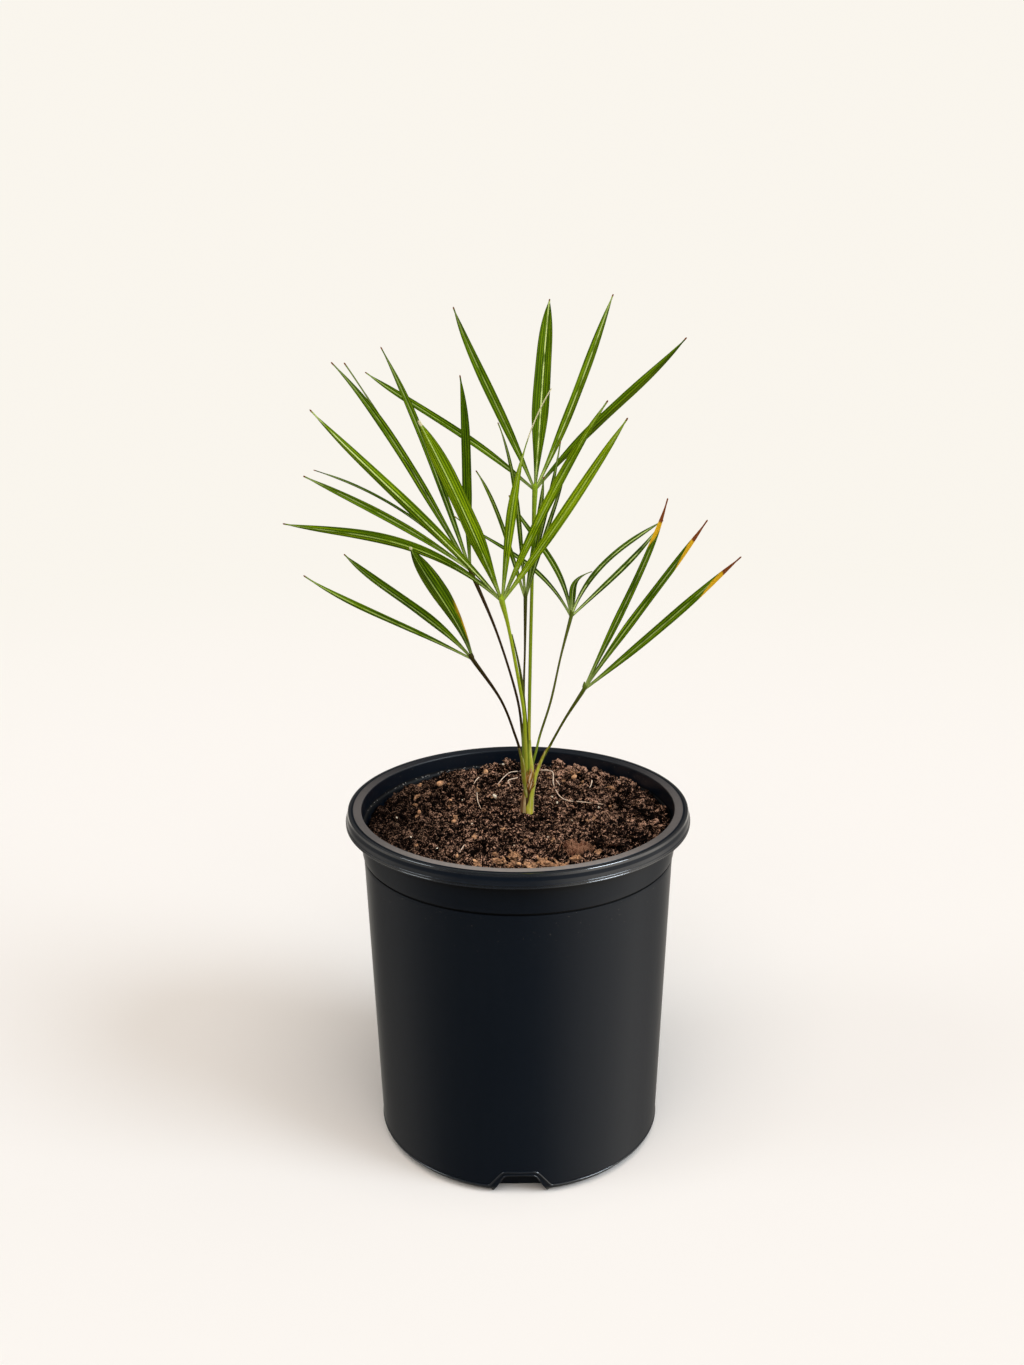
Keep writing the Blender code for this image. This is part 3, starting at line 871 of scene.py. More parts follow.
@dataclass(frozen=True)
class SoilSkin:
    """Peat, bark crumbs and fibre: matt, near black in the hollows by painted shade, and lighter pinkish
    brown by painted light where it stands up.
    """

    # black: also the colour of the painted shade in the hollows.
    black: Colour = (0.0022, 0.0012, 0.0010)
    dark: Colour = (0.0095, 0.0050, 0.0036)
    umber: Colour = (0.033, 0.0170, 0.0115)
    brown: Colour = (0.095, 0.050, 0.034)
    tan: Colour = (0.60, 0.35, 0.235)

    def material(self, name: str) -> Material:
        """Make the material.

        Args:
            name: The material's name.

        Returns:
            The material.
        """
        skin = Skin(name)
        place = skin.place()
        tone, crumb, clear = skin.parts(skin.read("tone"))
        spots = skin.noise(place, 620.0, 4.0, 0.65)
        patches = skin.noise(place, 60.0, 3.0)
        grains = skin.noise(place, 1700.0, 2.0)
        drift = (spots - 0.5) * 3.6 + (patches - 0.5) * 1.3 + (grains - 0.5) * 4.2
        # Painted light and shade: what stands clear is lighter, what lies low is darker.
        shade = drift + (tone - 0.5) * crumb + (clear - 0.5) + 0.15
        shades = (self.black, self.dark, self.umber, self.brown, self.tan)
        stops = list(zip((0.0, 0.28, 0.54, 0.78, 1.0), shades))
        colour = skin.add("ShaderNodeValToRGB", {"stops": stops}, {"Fac": shade})
        # Painted shade: the hollows turn near black.
        hollow_shade = clear.step(0.62, 0.26)
        x, y, _ = (part / MM for part in skin.parts(place))
        # Darker towards the left, and a little towards the right, behind the front edge.
        darker_sides = (x.step(-5.0, -68.0) * 0.76 + x.step(22.0, 50.0) * 0.20) * y.step(-66.0, -48.0)
        colour = skin.mix((hollow_shade + darker_sides).maths("MINIMUM", 0.95), colour, self.black)
        sockets = {
            "Base Color": colour,
            "Roughness": spots * 0.2 + 0.78,
            "Specular IOR Level": 0.04,
            "Normal": skin.bump(skin.noise(place, 1500.0, 3.0, 0.6), 0.5, 1.0),
        }
        return skin.finish(sockets)


@dataclass(frozen=True)
class GritSkin:
    """Pale or tan grit and bits of bark, streaked with a darker colour."""

    light: Colour
    dark: Colour
    grain: Triple = (500.0, 500.0, 500.0)

    def material(self, name: str) -> Material:
        """Make the material.

        Args:
            name: The material's name.

        Returns:
            The material.
        """
        skin = Skin(name)
        place = skin.place()
        streaks = skin.noise(skin.stretch(place, self.grain), 1.0, 4.0, 0.65)
        colour = skin.mix(streaks.step(0.30, 0.70), self.dark, self.light)
        sockets = {
            "Base Color": colour,
            "Roughness": streaks * 0.2 + 0.6,
            "Specular IOR Level": 0.2,
            "Normal": skin.bump(streaks, 0.3, 0.7),
        }
        return skin.finish(sockets)


# Pot


@dataclass
class Pot:
    """The moulded nursery pot: ring, turned-down lip, collar, body and base with drain notches."""

    height: float = 172.5
    ring_inner: float = 76.2
    ring_flat: float = 80.3
    shoulder: float = 0.6
    ring_thickness: float = 2.2
    lip_radius: float = 84.0
    lip_drop: float = 6.8
    lip_wall: float = 1.8
    collar_top: float = 78.0
    collar_foot: float = 76.3
    step_drop: float = 23.2
    body_top: float = 75.8
    body_foot: float = 71.0
    base_corner: float = 6.0
    wall: float = 1.4
    ledge_drop: float = 8.5
    floor_thickness: float = 2.0
    foot_ring: Pair = (60.4, 13.4)
    steps: int = 256
    notch_angles: tuple[float, ...] = (-90.0, 30.0, 150.0)
    notch_foot: float = 26.8
    notch_top: float = 13.5
    notch_height: float = 11.0
    notch_depth: float = 9.0
    lip_beads: tuple[float, ...] = (1.60, 0.45)
    lip_bead_half: float = 0.45
    bead: float = 0.5
    bead_height: float = 4.2
    bead_rise: float = 2.0
    edge_radius: float = 0.36
    edge_points: int = 80
    sharp: float = 32.0
    grit_count: int = 46
    grit_places: tuple[Pair, ...] = ((118.0, 9.0), (150.0, 14.0))
    grit_sizes: Pair = (0.12, 0.34)

    def body_radius(self, height: float) -> float:
        """Return the outside radius of the body at a height."""
        share = (height - self.base_corner) / (self.height - self.step_drop - self.base_corner)
        return self.body_foot + (self.body_top - self.body_foot) * share

    def bore(self, height: float) -> float:
        """Return the inside radius of the body at a height."""
        return self.body_radius(height) - self.wall

    def corner(self) -> Outline:
        """Return the rounded base corner of the outline, from the wall down."""
        centre, radius = self.body_foot - self.base_corner, self.base_corner
        return [(centre + radius * cos(a), radius - radius * sin(a)) for a in np.linspace(0.0, pi / 2.0, 9)]

    def inside(self) -> Outline:
        """Return the outline of the inside, from the floor's middle up to the ring.

        Returns:
            Radii and heights in mm.
        """
        ledge, inner = self.height - self.ledge_drop, self.ring_inner
        reach, rise = self.foot_ring
        outline = [(radius, self.floor_thickness) for radius in (0.0, 40.0, reach)]
        outline += [(reach, rise), (self.bore(rise), rise)]
        for height in np.linspace(20.0, ledge - 0.3, 9):
            outline.append((self.bore(height), height))
        wall = self.bore(ledge)
        outline += [(wall + 0.10, ledge), (wall + 0.35, ledge + 0.25), (inner - 0.75, ledge + 0.35)]
        outline += [(inner - 0.55, ledge + 0.6), (inner, self.height - 0.9)]
        return outline + [(inner + 0.06, self.height - 0.45), (inner + 0.35, self.height - 0.08)]

    def rim(self) -> Outline:
        """Return the outline of the ring and the lip, down to the lip's foot and back up inside it.

        Returns:
            Radii and heights in mm.
        """
        top = self.height
        foot = top - self.lip_drop
        groove = self.ring_flat + 0.2
        ring = [(self.ring_inner + 0.8, top), (self.ring_flat, top), (self.ring_flat + 0.08, top - 0.10)]
        ring += [(groove, top - 0.42), (groove + 0.55, top - 0.44), (groove + 0.80, top - 0.20)]
        bend = self.lip_radius - 1.10 - self.shoulder
        for angle in np.radians(np.linspace(82.0, 4.0, 10)):
            reach = bend + self.shoulder * cos(angle)
            ring.append((reach, top - 0.02 - self.shoulder * (1.0 - sin(angle))))
        face = [(self.lip_radius - 0.95, top - 2.0), (self.lip_radius - 0.50, foot + 3.2)]
        beads = []
        for rise in self.lip_beads:
            for angle in np.radians(np.linspace(70.0, -70.0, 7)):
                reach = self.lip_radius - self.bead + self.bead * cos(angle)
                beads.append((reach, foot + rise + self.lip_bead_half * sin(angle)))
        under = self.lip_radius - self.lip_wall
        beads += [(self.lip_radius - 0.8, foot), (under + 0.2, foot), (under, foot + 0.2)]
        return ring + face + beads

    def outside(self) -> Outline:
        """Return the outline from under the ring down the collar and the body to the underside.

        Returns:
            Radii and heights in mm.
        """
        under_ring = self.height - self.ring_thickness
        step = self.height - self.step_drop
        under, top = self.lip_radius - self.lip_wall, self.collar_top
        foot, body = self.collar_foot, self.body_top
        outline = [(under, under_ring - 0.3), (under - 0.3, under_ring), (top + 0.3, under_ring)]
        outline += [(top, under_ring - 0.3), (top, self.height - self.lip_drop)]
        outline += [(foot + 0.40, step + 4.0), (foot + 0.06, step + 1.4), (foot - 0.10, step + 1.0)]
        outline += [(body - 0.62, step + 0.85), (body - 0.66, step - 0.15), (body - 0.10, step - 0.35)]
        outline += [(body + 0.02, step - 0.7), (body - 0.04, step - 2.6)]
        for height in np.linspace(step - 6.0, self.base_corner + 4.0, 14):
            outline.append((self.body_radius(height), height))
        inset = (self.body_foot - self.base_corner - 3.0, 0.0)
        return outline + self.corner() + [inset, (60.0, 0.8), (30.0, 0.8), (0.0, 0.8)]

    def turned(self, outline: Outline, material: Material) -> Object:
        """Turn an outline that starts and ends on the axis into a closed solid.

        Args:
            outline: Radii and heights in mm.
            material: The finish.

        Returns:
            The solid.
        """
        angles = np.linspace(0.0, tau, self.steps, endpoint=False)
        around = np.stack([np.cos(angles), np.sin(angles)], -1)
        radii, heights = np.array(outline[1:-1]).T[:, :, None, None]
        heights = np.broadcast_to(heights, (len(radii), self.steps, 1))
        rings = np.concatenate([radii * around, heights], axis=-1)
        points = np.vstack([rings.reshape(-1, 3), (0.0, 0.0, outline[0][1]), (0.0, 0.0, outline[-1][1])])
        first = np.arange(self.steps)
        after = (first + 1) % self.steps
        last = (len(radii) - 1) * self.steps
        faces = list(zip(first, after, [len(points) - 2] * self.steps))
        for row in range(len(radii) - 1):
            low = row * self.steps
            faces.extend(zip(low + after, low + first, low + self.steps + first, low + self.steps + after))
        faces.extend(zip(last + after, last + first, [len(points) - 1] * self.steps))
        solid = Solid()
        solid.add(points, faces)
        return solid.build("pot_shell", material, self.sharp)

    def notch_outline(self, grow: float = 0.0) -> Outline:
        """Return half of a notch's outline, along the base and up, from the foot to the top.

        Args:
            grow: How far it is moved outwards, in mm.

        Returns:
            The outline, in mm.
        """
        half_foot = 0.5 * self.notch_foot + grow
        half_top = 0.5 * self.notch_top + 0.6 * grow
        top = self.notch_height + grow
        corners = [(half_foot + 2.6, 0.0), (half_foot + 0.8, 0.35), (half_foot - 0.6, 1.5)]
        return corners + [(half_top + 1.6, top - 1.9), (half_top + 0.3, top - 0.55), (half_top - 1.6, top)]

    def notch_cutter(self, angle: float) -> Object:
        """Make the block that cuts one drain notch.

        Args:
            angle: The notch's direction in degrees.

        Returns:
            The block.
        """
        half = self.notch_outline()
        outline = [(half[0][0], -3.0)] + half + [(-x, z) for x, z in reversed(half)] + [(-half[0][0], -3.0)]
        near, far = self.body_foot - self.notch_depth, self.body_foot + 6.0
        rings = np.array([[(x, -near, z) for x, z in outline], [(x, -far, z) for x, z in outline]])
        block = Solid()
        block.loft(rings)
        cutter = block.build("notch", bpy.data.materials.new("cut"))
        cutter.data.transform(Matrix.Rotation(radians(angle + 90.0), 4, "Z"))
        return cutter

    def on_foot(self, angle: float, height: float, radius: float) -> tuple[float, float, float, float]:
        """Return a place on the rounded base at an angle in degrees and a height, and a radius.

        Args:
            angle: The angle.
            height: The height in mm.
            radius: The radius of a rod there.

        Returns:
            The place and the radius.
        """
        drop = max(self.base_corner - height, 0.0)
        reach = self.body_foot - self.base_corner + sqrt(self.base_corner**2 - drop**2)
        if height > self.base_corner:
            reach = self.body_radius(height)
        return polar(reach, radians(angle), height, radius)

    def notch_edges(self, sweeper: Sweeper, material: Material) -> Object:
        """Make the fine rolled edge round each notch.

        Args:
            sweeper: What sweeps the rods.
            material: The finish.

        Returns:
            The edges.
        """
        half = self.notch_outline(0.15)[1:]
        outline = half + [(-x, z) for x, z in reversed(half)]
        lines = []
        for notch in self.notch_angles:
            turned = [(notch + degrees(x / self.body_foot), z) for x, z in outline]
            places = [self.on_foot(angle, z, self.edge_radius) for angle, z in turned]
            lines.append(along(places, self.edge_points))
        return sweeper.rods("pot_notch_edges", lines, material, 8)

    def foot_bead(self, sweeper: Sweeper, material: Material) -> Object:
        """Make the fine bead along the base, which rises over each notch.

        Args:
            sweeper: What sweeps the rods.
            material: The finish.

        Returns:
            The bead.
        """
        half = self.notch_outline(self.bead_rise)
        reach = [0.0, half[5][0], half[4][0], half[3][0], half[2][0], half[0][0] + 1.0]
        rise = [half[5][1], half[5][1], half[4][1], half[3][1], 4.6, self.bead_height]
        places = []
        for angle in np.linspace(0.0, 360.0, 3 * self.steps, endpoint=False):
            apart = min(abs((angle - notch + 180.0) % 360.0 - 180.0) for notch in self.notch_angles)
            arc = radians(apart) * self.body_foot
            places.append(self.on_foot(angle, float(np.interp(arc, reach, rise)), self.bead))
        return sweeper.rod("pot_foot_bead", places, material, sides=8, closed=True)

    def grit(self, rng: random.Random, material: Material) -> Object:
        """Make the pale grit along the inner ledge, painted near white as glints.

        Args:
            rng: The draws.
            material: The finish.

        Returns:
            The grit.
        """
        solid = Solid()
        ledge = self.height - self.ledge_drop + 0.55
        for _ in range(self.grit_count):
            angles = [rng.gauss(middle, spread) for middle, spread in self.grit_places]
            angle = radians(rng.choice([*angles, rng.uniform(0.0, 360.0)]))
            radius = self.ring_inner - 0.75 - rng.uniform(0.0, 0.25)
            size = rng.uniform(*self.grit_sizes)
            centre = polar(radius, angle, ledge + rng.uniform(-0.1, 0.5))
            add_pebble(solid, centre, (size, size, 0.8 * size), rng, 1, 0.15)
        return solid.build("pot_ledge_grit", material, 80.0)

    def build(self, sweeper: Sweeper) -> None:
        """Build and dress the pot.

        Args:
            sweeper: What sweeps the rods.
        """
        material = PotPlastic().material("black_plastic")
        shell = self.turned(self.inside() + self.rim() + self.outside(), material)
        for angle in self.notch_angles:
            cutter = self.notch_cutter(angle)
            cut = shell.modifiers.new("notch", "BOOLEAN")
            cut.object = cutter
            cut.operation = "DIFFERENCE"
            cut.solver = "EXACT"
            mesh = evaluated(shell)
            shell.modifiers.clear()
            shell.data = mesh
            bpy.data.objects.remove(cutter)
        mesh = shell.data
        mesh.materials.clear()
        mesh.materials.append(material)
        mesh.shade_smooth()
        mesh.set_sharp_from_angle(angle=radians(self.sharp))
        wear_on(shell, "pot")
        edge = PotPlastic(worn=(0.012, 0.016, 0.022), edge_gloss=0.5).material("rubbed_plastic")
        wear_on(self.foot_bead(sweeper, edge))
        wear_on(self.notch_edges(sweeper, edge))
        # Near-white grit along the ledge: painted glints.
        glints = GritSkin(light=(0.80, 0.80, 0.78), dark=(0.35, 0.33, 0.30)).material("painted_glint_grit")
        wear_on(self.grit(random.Random(SEED + 1), glints))


# Soil


def billow(place: Vector, layers: Sequence[Pair]) -> float:
    """Return a relief of rounded lumps with narrow creases, from layers of a depth and a size."""
    return sum(depth * abs(noise.noise(place / size + Vector((size, depth, 0.0)))) for depth, size in layers)


def add_pebble(
    solid: Solid,
    centre: Sequence[float],
    size: Sequence[float],
    rng: random.Random,
    fineness: int,
    rough: float,
    turn: Euler | None = None,
) -> None:
    """Add a lump to a solid.

    Args:
        solid: What it is added to.
        centre: Its middle in mm.
        size: Half its length along each of its axes in mm.
        rng: The draws.
        fineness: How often its ball is subdivided.
        rough: The depth of its relief as a share of its size.
        turn: How it is turned, drawn where it is not given.
    """
    ball = bmesh.new()
    bmesh.ops.create_icosphere(ball, subdivisions=fineness, radius=1.0)
    if turn is None:
        turn = Euler([rng.uniform(0.0, tau) for _ in range(3)])
    matrix = turn.to_matrix()
    shift = Vector([rng.uniform(-50.0, 50.0) for _ in range(3)])
    points = []
    own_tone = rng.random()
    tone = np.empty((len(ball.verts), 3))
    for vert in ball.verts:
        relief = billow(vert.co + shift, ((0.9, 0.8), (0.7, 0.34), (0.45, 0.15))) - 0.45
        # The third value is how far this point stands clear, for painted shade in the lump's creases.
        tone[vert.index] = (own_tone, 1.0, min(max(0.62 + 1.5 * relief, 0.0), 1.0))
        place = matrix @ Vector(a * b for a, b in zip(vert.co * (1.0 + rough * relief), size))
        points.append(place + Vector(centre))
    faces = [tuple(vert.index for vert in face.verts) for face in ball.faces]
    ball.free()
    solid.add(np.array([tuple(point) for point in points]), faces, {"tone": tone})


@dataclass
class Soil:
    """The potting mix: its bed, the crumbs strewn over it, clods, bark, grit and stray fibres."""

    pot: Pot
    stem_place: Pair = (4.7, 0.0)
    stem_clear: Pair = (4.6, 6.2)
    gap: float = 0.3
    inset: float = 0.985
    crowding: float = 0.85
    side_heights: Pair = (150.0, 90.0)
    rings: int = 150
    spokes: int = 540
    lumps: tuple[Pair, ...] = ((4.4, 11.0), (3.4, 5.0), (2.1, 2.4), (0.9, 1.2))
    mean_relief: float = 2.3
    mound: Triple = (4.0, -22.0, 17.0)
    heap: tuple[float, float, float, float] = (4.0, -4.0, 17.0, 2.6)
    edge_sink: float = 2.6
    edge_reach: float = 5.0
    strewn: dict[str, tuple[float, Pair, int]] = field(
        default_factory=lambda: {
            "soil_fine_crumbs": (0.393, (0.25, 0.84), 1),
            "soil_coarse_crumbs": (0.065, (0.65, 1.8), 2),
        }
    )
    crumb_rough: float = 0.85
    crumb_margin: float = 1.2
    clods: int = 46
    clod_sizes: Pair = (1.6, 3.0)
    bark: int = 44
    bark_sizes: Pair = (0.9, 1.9)
    strewn_reach: float = 68.0
    bark_reach: Pair = (14.0, 66.0)
    front_bark: Spots = (
        (-9.8, -57.5, 3.2), (-3.5, -61, 2.6), (-1.6, -53.4, 3), (5, -62, 2.8), (11.9, -58, 3.4),
        (18.5, -61, 3), (26, -56, 2.4), (-18, -60, 2.3),
    )
    big_clods: Spots = (
        (31.4, -10.8, 4.6), (44.8, -37, 6.2), (62, -4.5, 5.6), (43.5, 24.4, 4), (18.9, -50, 4.2),
        (11, 66, 4.6), (32, 60, 4.4), (55, 30, 5), (-4, 66, 4), (-55, -22, 4.4),
        (52, -22, 3.8), (-30, -46, 3.4), (22, 52, 3.6), (48, 45, 4.2), (-46, 30, 3.2),
        (-2, 64, 5), (32.5, 62, 4.6), (43, 54, 5), (62, 22, 5.2), (65, 4, 4.8),
        (64, -14, 5), (47, -28, 4.6), (56, -34, 5), (37.8, -40, 4.4), (-14, 62, 3.4),
        (52, 12, 4.2), (34, 26, 3.2), (57, 42, 4), (22, 68, 3.6), (30, -22, 3.4),
    )
    pale_bits: Spots = (
        (-11.5, 22.5, 1.6), (-7.4, 65, 0.9), (-12.4, 57, 0.9), (17.3, 16.6, 0.75), (19.5, 7.3, 0.7),
        (26.2, -9.5, 0.6), (-37.6, -41.9, 0.7), (-50.7, -26.6, 0.6), (8, 40, 0.5), (-28, 20, 0.5),
        (40, 5, 0.6), (-2, -40, 0.5), (-60, 5, 0.6), (14, -30, 0.5), (-22, -20, 0.5),
    )
    tan_bits: Spots = (
        (-40.2, 38.4, 2.3), (-16.7, 58, 1.8), (-31.1, -7.4, 1.5), (-49.1, 8.4, 1.2), (29.8, 47.4, 1.6),
        (-20, -55, 1.2), (-28, -50, 1.1), (34, 40, 1.1), (-34, 20, 1), (0, -65, 1.1),
    )
    stray_fibres: int = 190
    tuft_fibres: int = 170
    tuft: Pair = (27.4, -44.0)
    tuft_spread: Pair = (2.9, 2.4)
    tuft_rise: float = 4.2
    fibre_rise: float = 0.5
    fibre_lengths: Pair = (1.6, 5.0)
    fibre_radii: Pair = (0.07, 0.15)
    floor: BVHTree = field(init=False)
    surface: BVHTree = field(init=False)

    def __post_init__(self) -> None:
        """Read the packed soil's surface."""
        node = frame["nodes"]["soil"]
        points = [vert.co for vert in node.data.vertices]
        faces = [tuple(face.vertices) for face in node.data.polygons]
        self.floor = BVHTree.FromPolygons(points, faces)

    def drop(self, tree: BVHTree, x: float, y: float) -> float:
        """Return the height of a surface under a place seen from above, in mm."""
        hit = tree.ray_cast(Vector((x, y, self.pot.height)) * MM, Vector((0.0, 0.0, -1.0)))[0]
        return hit.z / MM if hit else self.pot.height - self.pot.ledge_drop

    def clear_height(self, x: float, y: float, reach: float) -> float:
        """Return the bed's greatest height at a place and a little before it, where it would hide a bit."""
        return max(self.drop(self.surface, x, y - step * reach) for step in (0.0, 0.5, 1.0, 1.5))

    def packed_height(self, x: float, y: float) -> float:
        """Return the packed soil's height at a place, or beside the stem's hole where the place is in it.

        Args:
            x: How far to the right the place is, in mm.
            y: How far to the back it is, in mm.

        Returns:
            The height in mm.
        """
        dx, dy = x - self.stem_place[0], y - self.stem_place[1]
        reach = hypot(dx / self.stem_clear[0], dy / self.stem_clear[1])
        if reach < 1.0:
            spread = 1.02 / max(reach, 0.02)
            x, y = self.stem_place[0] + dx * spread, self.stem_place[1] + (dy or 0.1) * spread
        return self.drop(self.floor, x, y)

    def relief(self, x: float, y: float) -> float:
        """Return the fine relief at a place in mm, calmer on the mound before the stem.

        Args:
            x: How far to the right the place is, in mm.
            y: How far to the back it is, in mm.

        Returns:
            The relief.
        """
        middle_x, middle_y, reach = self.mound
        calm = exp(-((x - middle_x) ** 2 + (y - middle_y) ** 2) / reach**2)
        heap_x, heap_y, spread, rise = self.heap
        heaped = rise * exp(-((x - heap_x) ** 2 + (y - heap_y) ** 2) / spread**2)
        relief = billow(Vector((x, y, 3.0)), self.lumps) - self.mean_relief
        return relief * (1.0 - 0.55 * calm) + heaped

    def sink(self, radius: float, angle: float, edge: float) -> float:
        """Return how far the bed sinks beside the pot's wall, most on the left.

        Args:
            radius: The distance from the axis in mm.
            angle: The direction in radians.
            edge: The bed's radius in mm.

        Returns:
            The depth in mm.
        """
        left = smooth((cos(angle - radians(170.0)) - 0.3) / 0.5)
        near = smooth((radius - edge + self.edge_reach) / self.edge_reach)
        return self.edge_sink * (0.25 + 0.75 * left) * near

    @staticmethod
    def clearance(heights: np.ndarray) -> np.ndarray:
        """Return how far the heights of a grid of rings stand clear of their neighbourhood, from 0 to 1.

        Args:
            heights: The heights in mm.

        Returns:
            A number for each height.
        """
        blurred = heights.copy()
        for axis, reach in ((0, 5), (1, 4)):
            blurred = np.mean([np.roll(blurred, shift, axis) for shift in range(-reach, reach + 1)], axis=0)
        return np.clip((heights - blurred) / 1.6 + 0.5, 0.0, 1.0)

    def make_bed(self, material: Material) -> Object:
        """Make the bed: a fine surface over the packed soil, closed by its side and its underside.

        Args:
            material: The finish.

        Returns:
            The bed.
        """
        ledge = self.pot.height - self.pot.ledge_drop
        edge = self.pot.bore(ledge) - self.gap
        radii = edge * np.linspace(0.0, 1.0, self.rings + 1)[1:] ** self.crowding
        angles = np.linspace(0.0, tau, self.spokes, endpoint=False)
        grid = np.zeros((self.rings, self.spokes, 3))
        for row, radius in enumerate(radii):
            for column, angle in enumerate(angles):
                x, y = polar(radius, angle)
                height = self.packed_height(x * self.inset, y * self.inset) - self.sink(radius, angle, edge)
                grid[row, column] = (x, y, height + self.relief(x, y))
        shelf_reach, shelf = self.pot.foot_ring
        low, foot = shelf + self.gap, shelf_reach - self.gap
        walls = [(self.pot.bore(z) - self.gap, z) for z in (*self.side_heights, low)]
        walls += [(foot, low), (foot, self.pot.floor_thickness + self.gap)]
        side = [[polar(radius, a, height) for a in angles] for radius, height in walls]
        rings = np.concatenate([grid, np.array(side)])[::-1]
        x, y = rings[:, :, 0], rings[:, :, 1]
        (stem_x, stem_y), (wide, deep) = self.stem_place, self.stem_clear
        outside_stem = np.hypot((x - stem_x) / wide, (y - stem_y) / deep) > 1.0
        cover, tone = np.zeros_like(rings), np.zeros_like(rings)
        cover[len(side):, :, 0] = 1.0
        cover[:, :, 0] *= (np.hypot(x, y) < edge - self.crumb_margin) & outside_stem
        # The third value of tone is how far the bed stands clear, for painted shade in its hollows and
        # painted light on its tops.
        tone[len(side):, :, 2] = self.clearance(grid[:, :, 2])[::-1]
        middle = np.array([0.0, 0.0, float(grid[0, :, 2].mean())])
        solid = Solid()
        solid.loft(rings, middle, {"cover": cover, "tone": tone})
        bed = solid.build("soil_bed", material, 180.0)
        self.surface = BVHTree.FromObject(bed, bpy.context.evaluated_depsgraph_get())
        return bed

    def crumb_shapes(self, fineness: int) -> bpy.types.Collection:
        """Make a collection with a few unlike crumbs of radius 1 mm.

        Args:
            fineness: How often a crumb's ball is subdivided.

        Returns:
            The collection.
        """
        rng = random.Random(SEED + fineness)
        shapes = bpy.data.collections.new("crumb_shapes")
        for index in range(6):
            solid = Solid()
            size = (1.0, *drawn(rng, 1.0, (0.6, 1.0), (0.45, 0.8)))
            add_pebble(solid, (0.0, 0.0, 0.0), size, rng, fineness, self.crumb_rough)
            shape = solid.build(f"crumb_shape_{index}", bpy.data.materials.new("plain"), 30.0)
            bpy.context.scene.collection.objects.unlink(shape)
            shapes.objects.link(shape)
        return shapes

    def strew(self, name: str, bed: Object, material: Material) -> Object:
        """Strew crumbs over the bed.

        Args:
            name: The new piece's name.
            bed: The bed.
            material: The crumbs' finish.

        Returns:
            The crumbs as one piece.
        """
        density, (smallest, largest), fineness = self.strewn[name]
        shapes = self.crumb_shapes(fineness)
        values = {
            "Bits": shapes,
            "Density": density / MM**2,
            "Smallest": smallest,
            "Largest": largest,
            "Rise": 0.40 * smallest * MM,
            "Seed": SEED + fineness,
            "Material": material,
        }
        made = scatter_tree().run(name, bed, values)
        for shape in list(shapes.objects):
            bpy.data.objects.remove(shape)
        bpy.data.collections.remove(shapes)
        return made

    def make_clods(self, material: Material) -> Object:
        """Make the larger clods of peat that stand out of the bed.

        Args:
            material: The finish.

        Returns:
            The clods.
        """
        rng = random.Random(SEED + 5)
        solid = Solid()
        places = list(self.big_clods)
        while len(places) < len(self.big_clods) + self.clods:
            angle = radians(rng.gauss(45.0, 75.0))
            radius = self.strewn_reach * sqrt(rng.uniform(0.12, 1.0))
            places.append(polar(radius, angle, rng.uniform(*self.clod_sizes)))
        for x, y, radius in places:
            size = (radius, *drawn(rng, radius, (0.7, 0.95), (0.5, 0.7)))
            turn = Euler(drawn(rng, 1.0, (-0.3, 0.3), (-0.3, 0.3), (0.0, tau)))
            height = self.drop(self.surface, x, y) + 0.15 * radius
            add_pebble(solid, (x, y, height), size, rng, 4 if radius > 3.0 else 3, 1.15, turn)
        return solid.build("soil_clods", material, 180.0)

    def make_bits(self) -> None:
        """Make the grit, white and tan."""
        rng = random.Random(SEED + 6)
        kinds = {
            "soil_white_grit": (self.pale_bits, GritSkin(light=(1.0, 0.92, 0.76), dark=(0.62, 0.48, 0.32))),
            "soil_tan_grit": (self.tan_bits, GritSkin(light=(0.90, 0.52, 0.27), dark=(0.36, 0.17, 0.09))),
        }
        for name, (bits, skin) in kinds.items():
            solid = Solid()
            for x, y, radius in bits:
                height = self.clear_height(x, y, 2.0) + 0.5 * radius + 0.3
                size = (radius, *drawn(rng, radius, (0.6, 0.8), (0.5, 0.7)))
                add_pebble(solid, (x, y, height), size, rng, 2, 0.22)
            wear_on(solid.build(name, skin.material(name), 60.0))

    def make_bark(self) -> None:
        """Make the rough bits of bark, most of them near the front."""
        rng = random.Random(SEED + 7)
        solid = Solid()
        places = list(self.front_bark)
        while len(places) < self.bark:
            radius, angle = spot(rng, self.bark_reach[1])
            if radius > self.bark_reach[0]:
                places.append(polar(radius, angle, rng.uniform(*self.bark_sizes)))
        for x, y, half in places:
            size = (half, *drawn(rng, half, (0.50, 0.70), (0.35, 0.55)))
            turn = Euler(drawn(rng, 1.0, (-0.4, 0.4), (-0.6, 0.6), (0.0, tau)))
            height = self.clear_height(x, y, 1.5) + 0.25 * half + 0.2
            add_pebble(solid, (x, y, height), size, rng, 3, 0.9, turn)
            for _ in range(5 if half > 2.0 else 1):
                size = drawn(rng, half, (0.5, 0.9), (0.14, 0.30), (0.10, 0.22))
                turn = Euler(drawn(rng, 1.0, (-0.8, 0.8), (-0.8, 0.8), (0.0, tau)))
                centre = (x + rng.gauss(0.0, 0.4 * half), y + rng.gauss(0.0, 0.4 * half))
                centre = (*centre, height + rng.uniform(0.1, 0.5) * half)
                add_pebble(solid, centre, size, rng, 2, 1.1, turn)
        skin = GritSkin(light=(0.66, 0.36, 0.19), dark=(0.030, 0.011, 0.006), grain=(900.0, 900.0, 900.0))
        wear_on(solid.build("soil_bark", skin.material("bark"), 24.0))

